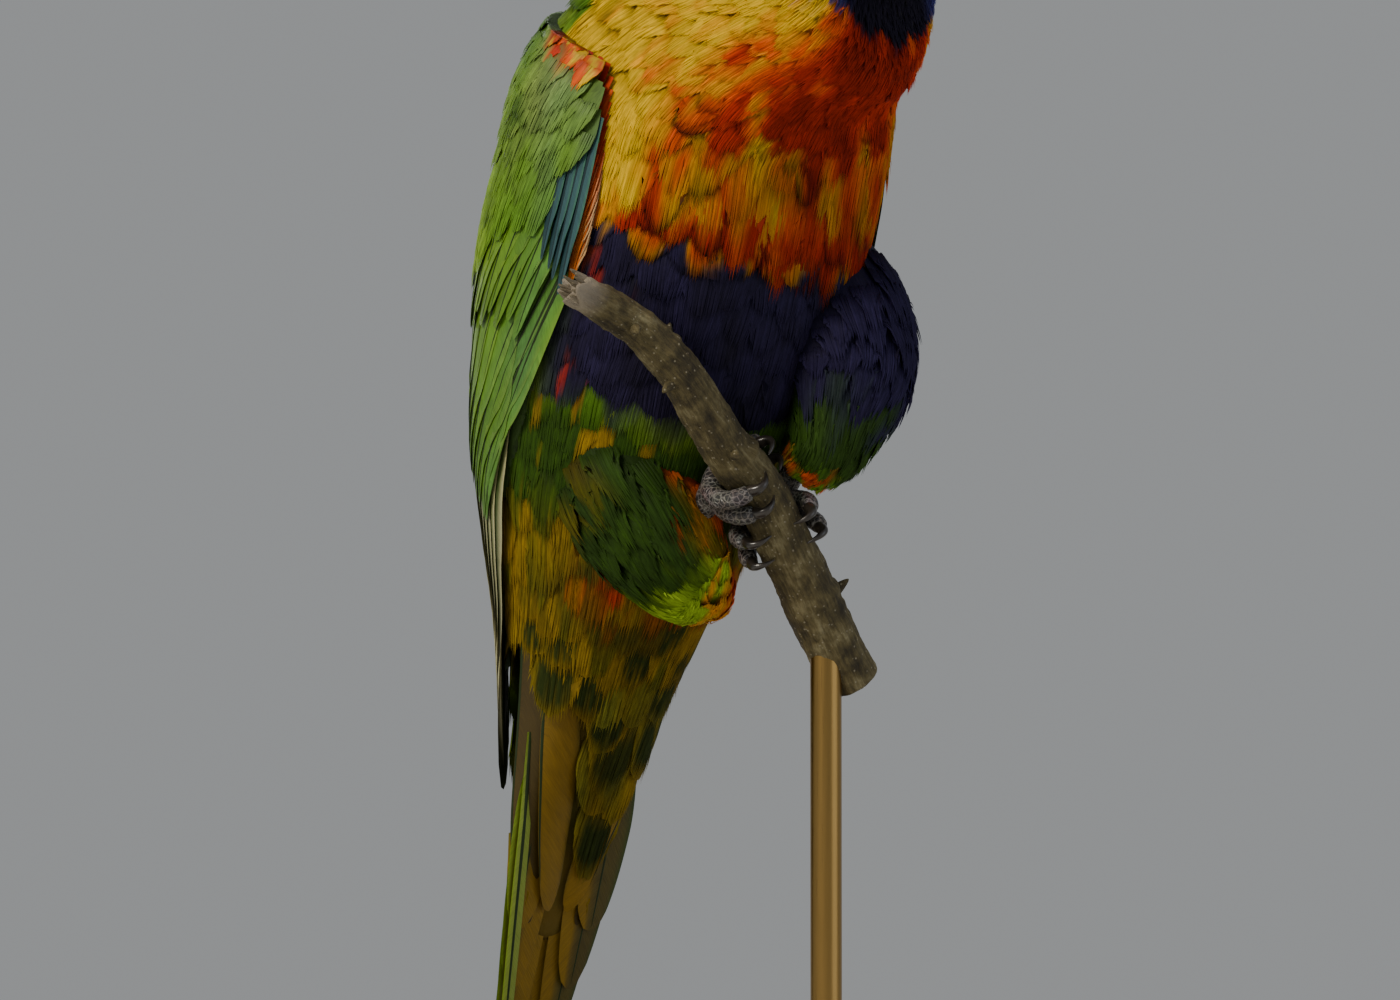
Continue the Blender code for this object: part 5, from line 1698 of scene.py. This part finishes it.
def toe_solid(frame_here, begin, full, offset):
    """One toe round the branch, with pads beneath its joints and scutes over it."""
    share = np.linspace(0, 1, 64)
    pads = 0.09 * np.sin(np.pi * whole((share * TOE_PADS + 0.1) % 1.0)) ** 0.7
    scutes = 0.055 * (1 - ((share * TOE_SCUTES) % 1.0)) ** 1.2
    base = TOE_RADIUS * (1 - TOE_TAPER * share)
    size = base * (0.93 + pads * 0.6 + scutes)
    size = size * np.where(share > 0.95, 1 - ((share - 0.95) / 0.05) ** 2 * 0.45, 1.0)
    angle = np.radians(begin + full * share)
    path = toe_spot(frame_here, angle, offset * (0.55 + 0.45 * share), base + BARK_GAP)
    return outward_solid(tube_rings(path, size, 20))


def make_foot(side):
    """Scaly shank and toes of one foot, with the four claws."""
    place, palm_angle, *_, heel = FEET[side]
    frame_here = perch_frame(place)
    start = body_point(*heel)
    shares = np.linspace(0, 1, 26)
    bands = 0.04 * np.abs(np.sin(shares * SHANK_BANDS * np.pi))
    radii = SHANK_RADIUS * (1 - 0.1 * np.sin(np.pi * shares) + 0.12 * shares ** 4 + bands)
    spots = start + (palm_spot(side) - start) * shares[:, None]
    solids = [outward_solid(tube_rings(spots, radii, 20))]
    for number, (reach, offset) in enumerate(toe_reaches(side), start=1):
        turn = math.copysign(1.0, reach)
        begin = palm_angle - turn * TOE_START
        full = reach + turn * TOE_START
        solids.append(toe_solid(frame_here, begin, full, offset))
        make_claw("claw_%s_%d" % (SIDES[side], number), frame_here, begin + full, turn, offset)
    name = "foot_" + SIDES[side]
    foot = show("scaly_" + name, join_solids(solids), "scaly_foot_skin", [name])
    fuse(foot, 0.24, 2)


def make_claw(node, frame_here, start_angle, turn, along):
    """Claw that curves on from a toe's end and down to the bark."""
    share = np.linspace(-0.12, 1, 28)
    forward = np.clip(share, 0, 1)
    angle = np.radians(start_angle + turn * (3.0 + CLAW_TURN * share))
    size = CLAW_RADIUS * (1 - 0.9 * forward ** 1.15)
    arch = CLAW_ARCH * np.sin(np.pi * np.minimum(forward * 1.1, 1.0)) * (1 - forward * 0.4)
    lift = size + 0.3 + arch + 0.5 * (1 - forward)
    path = toe_spot(frame_here, angle, np.full(len(share), along), lift)
    show("horn_" + node, outward_solid(tube_rings(path, size, 14)), "claw_horn", [node])


def foot_material():
    """Dry scaly foot: dark plates parted by pale creases, which read as a net."""
    material, tree = plain_material("scaly_foot_skin")
    place = position(tree, 1000.0)
    cells = add(
        tree, "TexVoronoi", {"feature": "DISTANCE_TO_EDGE", "Scale": 1.0, "Randomness": 0.75},
        {"Vector": place},
    )
    tone = add(
        tree, "ValToRGB", None, {"Fac": cells},
        [(0.0, "#97928c"), (0.07, "#706b67"), (0.2, "#3c3a3b"), (0.6, "#2c2c2f")],
    )
    dust = add(tree, "TexNoise", {"Scale": 0.3, "Detail": 3.0}, {"Vector": place}, output="Color")
    worn = add(
        tree, "Mix", {"data_type": "RGBA", "blend_type": "MULTIPLY", "Factor": 0.4},
        {"A": tone, "B": dust},
    )
    high = add(
        tree, "MapRange", {"From Min": 0.0, "From Max": 0.22, "To Min": 0.0, "To Max": 1.0},
        {"Value": cells},
    )
    bump = add(tree, "Bump", {"Strength": 0.9, "Distance": 0.2 * MM}, {"Height": high})
    return finish(material, {"Base Color": worn, "Normal": bump}, {"Roughness": 0.38, "IOR": KERATIN_IOR})


def horn_material(name, base, tip, roughness, painted=False):
    """Polished horn, whose thin layers show as faint streaks; a bill pales to its tip."""
    material, tree = plain_material(name)
    streaks = add(
        tree, "TexNoise", {"Scale": 1.0, "Detail": 3.0, "Distortion": 0.4},
        {"Vector": position(tree, 420.0)},
    )
    tone = add(tree, "ValToRGB", None, {"Fac": streaks}, [(0.25, base), (0.75, tip)])
    fine = add(tree, "TexNoise", {"Scale": 1.0, "Detail": 2.0}, {"Vector": position(tree, 2600.0)})
    bump = add(tree, "Bump", {"Strength": 0.15, "Distance": 0.05 * MM}, {"Height": fine})
    colour = tone
    if painted:
        worn = add(tree, "Attribute", {"attribute_name": "plumage"})
        colour = add(tree, "Mix", {"data_type": "RGBA", "Factor": 0.55}, {"A": colour, "B": worn})
    return finish(
        material, {"Base Color": colour, "Normal": bump},
        {"Roughness": roughness, "IOR": KERATIN_IOR, "Coat Weight": 0.25, "Coat Roughness": 0.15},
    )


def bark_material():
    """Grey-brown bark of a young branch: cracked along its length, flecked with pale pores."""
    material, tree = plain_material("rough_bark")
    grain = add(tree, "Attribute", {"attribute_name": "grain"}, output="Vector")
    drawn = add(tree, "VectorMath", {"operation": "MULTIPLY", 1: Vector((1.0, 1.0, 0.16))}, {0: grain})
    patches, cracks = (
        add(tree, "TexNoise", {"Scale": size, "Detail": 5.0, "Roughness": rough}, {"Vector": vector})
        for size, rough, vector in ((0.16, 0.6, grain), (1.5, 0.65, drawn))
    )
    both = add(tree, "Math", {"operation": "MULTIPLY_ADD", 1: 0.55}, {0: cracks, 2: patches})
    tone = add(
        tree, "ValToRGB", None, {"Fac": both},
        [(0.5, "#1f1a10"), (0.68, "#443c24"), (0.82, "#615736"), (1.0, "#8d8461")],
    )
    pores = add(tree, "TexVoronoi", {"Scale": 0.8, "Randomness": 1.0}, {"Vector": grain})
    down = add(tree, "SeparateXYZ", None, {0: grain}, output="Z")
    colour = tone
    for source, low, high, most, pale in (
        (pores, 0.1, 0.2, 0.6, "#a8a088"), (down, 1.0, 6.0, 0.75, "#a89d8b"),
    ):
        share = add(
            tree, "MapRange", {"From Min": low, "From Max": high, "To Min": most, "To Max": 0.0},
            {"Value": source},
        )
        colour = add(tree, "Mix", {"data_type": "RGBA", "B": opaque(pale)}, {"Factor": share, "A": colour})
    bump = add(tree, "Bump", {"Strength": 1.0, "Distance": 0.6 * MM}, {"Height": cracks})
    return finish(material, {"Base Color": colour, "Normal": bump}, {"Roughness": 0.85})


def bark_solid(rings, radii, start):
    """Solid of bark and, for each of its points, its place on a straightened branch."""
    points, triangles = outward_solid(rings)
    angle = circle(rings.shape[1])
    steps = np.linalg.norm(np.diff(rings.mean(axis=1), axis=0), axis=1)
    along = start + np.concatenate([[0.0], np.cumsum(steps)])
    reach = np.broadcast_to(np.asarray(radii, float)[:, None], rings.shape[:2])
    grain = np.stack([reach * np.cos(angle), reach * np.sin(angle), along[:, None] + 0 * reach], axis=-1)
    ends = np.array([[0.0, 0.0, along[0]], [0.0, 0.0, along[-1]]])
    return points, triangles, np.concatenate([grain.reshape(-1, 3), ends])


def spike(here, turn, root, tip, thickness, count, start):
    """Tapered spike on the branch from one place to another, as along it and above the bark."""
    share = np.linspace(0, 1, 9)
    foot = toe_spot(here, turn, *root)
    path = foot + (toe_spot(here, turn, *tip) - foot) * share[:, None]
    size = thickness * (1 - share) ** 0.7 + 0.13
    return bark_solid(tube_rings(path, size, count), size, start)


def branch_solid():
    """Cut length of branch with knots, ribs and a torn upper end."""
    places = np.linspace(0, len(PERCH_ROUTE) - 1, PERCH_STEPS)
    points, radii = perch_sections(places)
    rings = tube_rings(points, radii, PERCH_SIDES)
    out = unit(rings - points[:, None])
    rough = 0.1 * ripple(rings, 3.6, 41) + 0.16 * ripple(rings, 11.0, 42) + 0.06 * ripple(rings, 1.5, 43)
    angle = circle(PERCH_SIDES)
    way = places[:, None]
    ribs = 0.09 * np.sin(angle * 11 + 1.6 * np.sin(way * 2.1)) * np.sin(way * 5 + angle)
    knots = sum(0.5 * hump(places, knot, 0.07) for knot in KNOTS)[:, None]
    rings = rings + out * (rough + ribs + knots * (0.6 + 0.4 * np.cos(angle + 1)) - 0.1)[..., None]
    ahead = unit(np.gradient(points, axis=0))
    torn = 1.9 * ripple(rings[0], 2.2, 44)
    for index in range(TORN_STEPS):
        rings[index] += ahead[index] * (torn * (1 - index / TORN_STEPS))[:, None]
    return bark_solid(rings, radii, 0.0)


def make_perch(draws):
    """Branch with its prickles, and splinters at its upper end."""
    solids = [branch_solid()]
    for place, turn in PRICKLES:
        here, turn = perch_frame(place), math.radians(turn)
        solids.append(spike(here, turn, (0.0, -1.0), (-0.9, 2.5), 1.2, 12, 30.0 * place))
    for index in range(SPLINTERS):
        turn = math.radians(index * 26 + draws.uniform(-10, 10))
        depth = -draws.uniform(0.5, 2.8)
        root, tip = (2.0, depth), (-draws.uniform(0.6, 3.0), depth * 0.7)
        solids.append(spike(perch_frame(0.0), turn, root, tip, draws.uniform(0.4, 0.8), 7, 0.0))
    branch = join_solids([solid[:2] for solid in solids])
    perch = show("bark_perch", branch, "rough_bark", ["perch_branch"])
    grain = np.concatenate([solid[2] for solid in solids])
    layer = perch.data.attributes.new("grain", "FLOAT_VECTOR", "POINT")
    layer.data.foreach_set("vector", grain.astype(np.float32).ravel())


def lathe(profile, count, centre):
    """Closed turned solid from rows of radius and height."""
    rings = [
        [(centre[0] + radius * math.cos(angle), centre[1] + radius * math.sin(angle), height)
         for angle in circle(count)]
        for radius, height in profile
    ]
    return outward_solid(np.array(rings))


def make_stand():
    """Turned wooden base with a rounded rim, and the brass rod with its collar."""
    low, high = (np.array(corner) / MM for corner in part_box("stand_base"))
    radius = float(high[0] - low[0]) / 2
    height = float(high[2])
    bend = np.radians(np.linspace(0, 90, 9))
    profile = [(0.5, 0.0), (radius - 1.2, 0.0), (radius - 0.2, 0.5), (radius, 1.5)]
    profile += [
        (radius - BASE_RIM + BASE_RIM * math.cos(a), height - BASE_RIM + BASE_RIM * math.sin(a)) for a in bend
    ]
    profile += [(radius * share, height) for share in (0.9, 0.75, 0.6, 0.45, 0.3, 0.15, 0.02)]
    disc = lathe(profile, 128, (0.0, 0.0))
    base = show("turned_base", disc, "oiled_walnut", ["stand_base"])
    low, high = (np.array(corner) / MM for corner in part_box("stand_rod"))
    rod_radius = float(high[0] - low[0]) / 2
    top = float(high[2]) + ROD_IN_PERCH
    profile = [(0.3, height), (rod_radius + COLLAR_STEPS[0][0], height)]
    profile += [(rod_radius + out, height + up) for out, up in COLLAR_STEPS]
    profile += [(rod_radius, top - 0.3), (rod_radius - ROD_BEVEL, top), (0.3, top)]
    centre = (low + high)[:2] / 2
    rod = show("brass_rod", lathe(profile, 48, centre), "brushed_brass", ["stand_rod"])
    for thing in (base, rod):
        thing.data.set_sharp_from_angle(angle=math.radians(35))


def wood_material():
    """Walnut, sanded and oiled: brown grain lines under a low satin."""
    material, tree = plain_material("oiled_walnut")
    place = position(tree, 1000.0, (1.0, 0.09, 1.0))
    warp = add(tree, "TexNoise", {"Scale": 0.12, "Detail": 3.0}, {"Vector": place})
    grain = add(
        tree, "TexWave", {"Scale": 0.045, "Distortion": 7.0, "Detail": 3.0, "Detail Scale": 1.4},
        {"Vector": place}, output="Fac",
    )
    both = add(tree, "Math", {"operation": "MULTIPLY_ADD", 1: 0.6}, {0: grain, 2: warp})
    tone = add(
        tree, "ValToRGB", None, {"Fac": both},
        [(0.2, "#3a2314"), (0.6, "#4c301c"), (1.0, "#5e3d24")],
    )
    pores = add(tree, "TexNoise", {"Scale": 3.0, "Detail": 2.0}, {"Vector": place})
    bump = add(tree, "Bump", {"Strength": 0.2, "Distance": 0.08 * MM}, {"Height": pores})
    return finish(material, {"Base Color": tone, "Normal": bump}, {"Roughness": 0.38, "Coat Weight": 0.2})


def brass_material():
    """Drawn brass rod, lightly brushed: soft bright gleam along its length."""
    material, tree = plain_material("brushed_brass")
    place = position(tree, 3000.0, (1.0, 1.0, 0.03))
    lines = add(tree, "TexNoise", {"Scale": 1.0, "Detail": 2.0}, {"Vector": place})
    rough = add(tree, "MapRange", {"To Min": 0.22, "To Max": 0.38}, {"Value": lines})
    return finish(material, {"Roughness": rough}, {"Base Color": opaque("#a5854c"), "Metallic": 1.0})


def bill_rings(rows, steps, count):
    """Rings of one half of the bill, each from its upper line to its lower."""
    marks = np.linspace(0, len(rows) - 1, steps)
    forward, top, bottom, half, lean = np.moveaxis(curves(numbered(rows), marks), -1, 0)
    high = head_point(forward, 0.0, top)
    low = head_point(forward - lean, 0.0, bottom)
    angles = circle(count)[None, :, None]
    cosine = np.cos(angles)
    narrow = 1 - 0.22 * whole(cosine) ** 2
    aside = head_axes()[1] * (half[:, None, None] * np.sin(angles) * narrow)
    return (high + low)[:, None] / 2 + (high - low)[:, None] / 2 * cosine + aside


def paint_bill(thing, corners):
    """Colours of the bill: deep orange at its root, paler toward the tip."""
    gaze, _, below = head_axes()
    forward = corners @ gaze
    colour = mix("bill", "bill_tip", ramp(corners @ below + 0.4 * forward, 8, 24))
    paint_corners(thing, mix(colour, "bill_root", fall(forward, 14, 22) * 0.6))


def make_nostril(turn):
    """Hole of one nostril in the cere, and the rim round it."""
    forward, left, down = NOSTRIL_PLACE
    centre = head_point(forward, turn * (left + 0.75), down)
    way = unit(head_point(forward, turn * (left + 3), down - 1.6) - centre)
    across = unit(np.cross(way, head_axes()[0]))
    hoop = centre + NOSTRIL_RADIUS * oval_path(across, np.cross(way, across), 25)
    rim = outward_solid(tube_rings(hoop, NOSTRIL_RIM, 10)[:-1], loop=True)
    plug = outward_solid(tube_rings(centre + way * np.array(NOSTRIL_DEPTHS)[:, None], NOSTRIL_HOLE, 14))
    show("nostril_rim_" + SIDES[turn], rim, "bare_skin")
    show("nostril_" + SIDES[turn], plug, "nostril_hollow")


def oval_path(across, over, count, width=1.0, height=1.0):
    """Closed oval about a centre, whose last point is its first."""
    angles = np.linspace(0, 2 * np.pi, count)[:, None]
    return across * np.cos(angles) * width + over * np.sin(angles) * height


def make_bill():
    """Hooked upper bill, short lower bill, and the dark cere with its nostrils."""
    upper = bill_rings(BILL_UPPER, 60, 40)
    lower = bill_rings(BILL_LOWER, 40, 36)
    for name, rings, material in (("upper", upper, "bill_horn"), ("lower", lower, "bill_horn_lower")):
        out = unit(rings - rings.mean(1, keepdims=True))
        ridges = HORN_RIDGE * ripple(rings * HORN_LAYERS, 3.0, 51)[..., None]
        points, triangles = outward_solid(rings + out * ridges)
        thing = show("horn_bill_" + name, (points, triangles), material, ["bill_" + name])
        paint_bill(thing, points[triangles.ravel()] - head_point(0.0, 0.0, 0.0))
    band = upper[CERE_START:CERE_END]
    swell = 0.34 * np.sin(np.pi * np.linspace(0, 1, len(band))) ** 0.6 + 0.06
    band = band + unit(band - band.mean(1, keepdims=True)) * swell[:, None, None]
    show("cere", outward_solid(band), "bare_skin")
    for turn in SIDES:
        make_nostril(turn)


def bare_material(name, low, high, size):
    """Bare leathery skin, matt, with fine wrinkles."""
    material, tree = plain_material(name)
    wrinkles = add(
        tree, "TexVoronoi", {"Scale": 1.0, "feature": "DISTANCE_TO_EDGE"},
        {"Vector": position(tree, 1000.0 / size)},
    )
    tone = add(tree, "ValToRGB", None, {"Fac": wrinkles}, [(0.0, low), (0.25, high)])
    bump = add(tree, "Bump", {"Strength": 0.6, "Distance": 0.12 * MM}, {"Height": wrinkles})
    return finish(material, {"Base Color": tone, "Normal": bump}, {"Roughness": 0.62})


def eye_material():
    """Wet eye: a red iris round a black pupil under a clear gloss."""
    material, tree = plain_material("wet_eye")
    colour = add(tree, "Attribute", {"attribute_name": "plumage"})
    return finish(
        material, {"Base Color": colour},
        {"Roughness": 0.06, "IOR": 1.376, "Coat Weight": 1.0, "Coat Roughness": 0.02},
    )


def paint_eye(ball, offset, look, across, over):
    """Colours of the eyeball by the angle from its gaze: pupil, fibred iris and dark rim."""
    degrees = np.degrees(np.arccos(np.clip(unit(offset) @ look, -1, 1)))
    spin = np.arctan2(offset @ over, offset @ across)
    fibres = 0.5 + 0.5 * np.sin(spin * 31 + 2.0 * np.sin(spin * 7))
    iris = mix("iris", "iris_fibre", ramp(degrees, 20, 34) * 0.6 + 0.3 * fibres)
    colour = mix("pupil", iris, ramp(degrees, PUPIL_EDGE, PUPIL_EDGE + 2.5))
    paint_corners(ball, mix(colour, "eye_rim", ramp(degrees, IRIS_EDGE, IRIS_EDGE + 5)))


def make_eye(turn):
    """Eyeball with pupil and iris, its lid, and the ring of bare skin round it."""
    centre, look = eye_frame(turn)
    across = unit(np.cross(look, head_axes()[2]))
    over = np.cross(look, across)
    polar = np.radians(np.concatenate([np.linspace(1, 60, 46), np.linspace(63, 178, 24)]))
    around = circle(64)[:, None]
    bulge = EYE_RADIUS * (1 + 0.035 * hump(polar, 0.0, math.radians(CORNEA_SPREAD)))
    aside = across * np.cos(around) + over * np.sin(around)
    polar = polar[:, None, None]
    way = look * np.cos(polar) + aside[None] * np.sin(polar)
    points, triangles = outward_solid(centre + way * bulge[:, None, None])
    name = "eye_" + SIDES[turn]
    ball = show("eyeball_" + SIDES[turn], (points, triangles), "wet_eye", [name])
    paint_eye(ball, points[triangles.ravel()] - centre, look, across, over)
    oval = oval_path(across, over, 73, 1.06, 0.97)
    hoop = centre + look * LID_HEIGHT + oval * LID_REACH
    lid = outward_solid(tube_rings(hoop, LID_THICKNESS, 12)[:-1], loop=True)
    show("eyelid_" + SIDES[turn], lid, "bare_skin")
    ring = np.array([centre + look * height + oval * reach for reach, height in EYE_RING])
    ring = outward_solid(ring[:, :-1], loop=True)
    show("eye_skin_" + SIDES[turn], ring, "bare_skin")


def split_tract(tract, station, angle):
    """Parts the trunk's feathers into pieces by region."""
    front = np.abs(angle) < FLANK_ANGLE
    trunk = station <= NAPE_FROM
    breast = trunk & (station > BREAST_FROM) & front
    zones = {
        "head_feathers": station > HEAD_FROM,
        "nape_feathers": (station > NAPE_FROM) & (station <= HEAD_FROM),
        "breast_feathers_right": breast & (angle < 0),
        "breast_feathers_left": breast & (angle >= 0),
        "belly_feathers": (station <= BREAST_FROM) & (station > BELLY_FROM) & front,
        "vent_feathers": (station <= BELLY_FROM) & front,
        "back_feathers": trunk & ~front,
    }
    return {name: keep(tract, mask) for name, mask in zones.items()}


def make_plumage(draws):
    """Contour feathers of head, neck and body."""
    trunk = make_trunk_sheet()
    tract, station, angle, points = trunk_tract(trunk, draws)
    side = np.abs(angle)
    under_wing = (station < 78) & (station > 0) & (side > wing_front(station) + 10) & (side < 150)
    wanted = clear_of_face(points) & ~under_wing & clear_of_webs(station, angle, tract["length"])
    for name, piece in split_tract(keep(tract, wanted), station[wanted], angle[wanted]).items():
        *grid, strands = FEATHER_DETAIL.get(name, BODY_DETAIL)
        lay_feathers(name, trunk, piece, grid, "contour_feather", draws, paint=paint_trunk, strands=strands)
    return trunk


def make_lights():
    """Soft studio light: one broad key from the upper left, a fill and a pale surround."""
    for name, place, size, power, tint in LIGHTS:
        light = bpy.data.lights.new(name, "AREA")
        light.size = size
        light.energy = power
        light.color = hex_colour(tint)
        lamp = bpy.data.objects.new(name, light)
        lamp.location = place
        lamp.visible_camera = False
        lamp.rotation_euler = (LIGHT_AIM - lamp.location).to_track_quat("-Z", "Y").to_euler()
        bpy.context.scene.collection.objects.link(lamp)
    world = bpy.data.worlds.new("studio")
    world.use_nodes = True
    bpy.context.scene.world = world
    surround = world.node_tree.nodes["Background"]
    surround.inputs["Color"].default_value = opaque("#d9dcde")
    surround.inputs["Strength"].default_value = 0.42


def make_floor():
    """Plain pale floor just under the stand."""
    material, _ = plain_material("pale_card")
    finish(material, {}, {"Base Color": opaque("#d8d6d0"), "Roughness": 0.9})
    corners = ((-1, -1), (1, -1), (1, 1), (-1, 1))
    points = np.array([(x * FLOOR_HALF, y * FLOOR_HALF, -FLOOR_DROP) for x, y in corners])
    floor = mesh_object("floor", points, np.array([(0, 1, 2), (0, 2, 3)]), material.name, smooth=False)


def make_camera():
    """Camera at the photograph's angle, framed as the photograph is."""
    cos_a, sin_a = math.cos(CAMERA_AZIMUTH), math.sin(CAMERA_AZIMUTH)
    cos_e, sin_e = math.cos(CAMERA_ELEVATION), math.sin(CAMERA_ELEVATION)
    right = np.array([cos_a, sin_a, 0.0])
    up = np.array([-sin_a * sin_e, cos_a * sin_e, cos_e])
    back = np.array([sin_a * cos_e, -cos_a * cos_e, sin_e])
    across, above = PIVOT_IN_VIEW
    target = PIVOT - right * across - up * above
    camera_data = bpy.data.cameras.new("camera")
    camera_data.sensor_width = SENSOR
    camera_data.lens = SENSOR * CAMERA_DISTANCE / (IMAGE_WIDTH / PIXELS_PER_MM)
    camera_data.clip_start = 0.05
    camera = bpy.data.objects.new("camera", camera_data)
    turn = Matrix((right, up, back)).transposed().to_4x4()
    camera.matrix_world = Matrix.Translation(Vector((target + back * CAMERA_DISTANCE) * MM)) @ turn
    bpy.context.scene.collection.objects.link(camera)
    bpy.context.scene.camera = camera


def make_materials():
    """Every finish of the bird and its stand."""
    plumage_material("contour_feather", 0.34, 0.36, 0.62, 0.09)
    plumage_material("covert_feather", 0.3, 0.3, 0.52, 0.25)
    plumage_material("flight_feather", 0.42, 0.25, 0.48, 0.3)
    skin_material()
    foot_material()
    horn_material("claw_horn", "#1d1a18", "#3a342e", 0.28)
    horn_material("bill_horn", "#c8340c", "#e4611a", 0.34, True)
    horn_material("bill_horn_lower", "#bd300c", "#d85217", 0.36, True)
    bare_material("bare_skin", "#17171a", "#3a3a3f", 0.45)
    bare_material("nostril_hollow", "#050505", "#0d0c0c", 0.5)
    eye_material()
    bark_material()
    wood_material()
    brass_material()


def main():
    """Builds the bird, its perch and its stand, with lights and camera."""
    draws = np.random.default_rng(SEED)
    make_camera()
    make_lights()
    make_floor()
    make_materials()
    trunk = make_plumage(draws)
    for turn in SIDES:
        make_wing(turn, draws)
        make_leg(turn, draws)
    make_undertail(trunk, draws)
    make_tail(draws)
    make_skin(trunk)
    make_bill()
    for turn in SIDES:
        make_eye(turn)
        make_foot(turn)
    make_perch(draws)
    make_stand()


main()
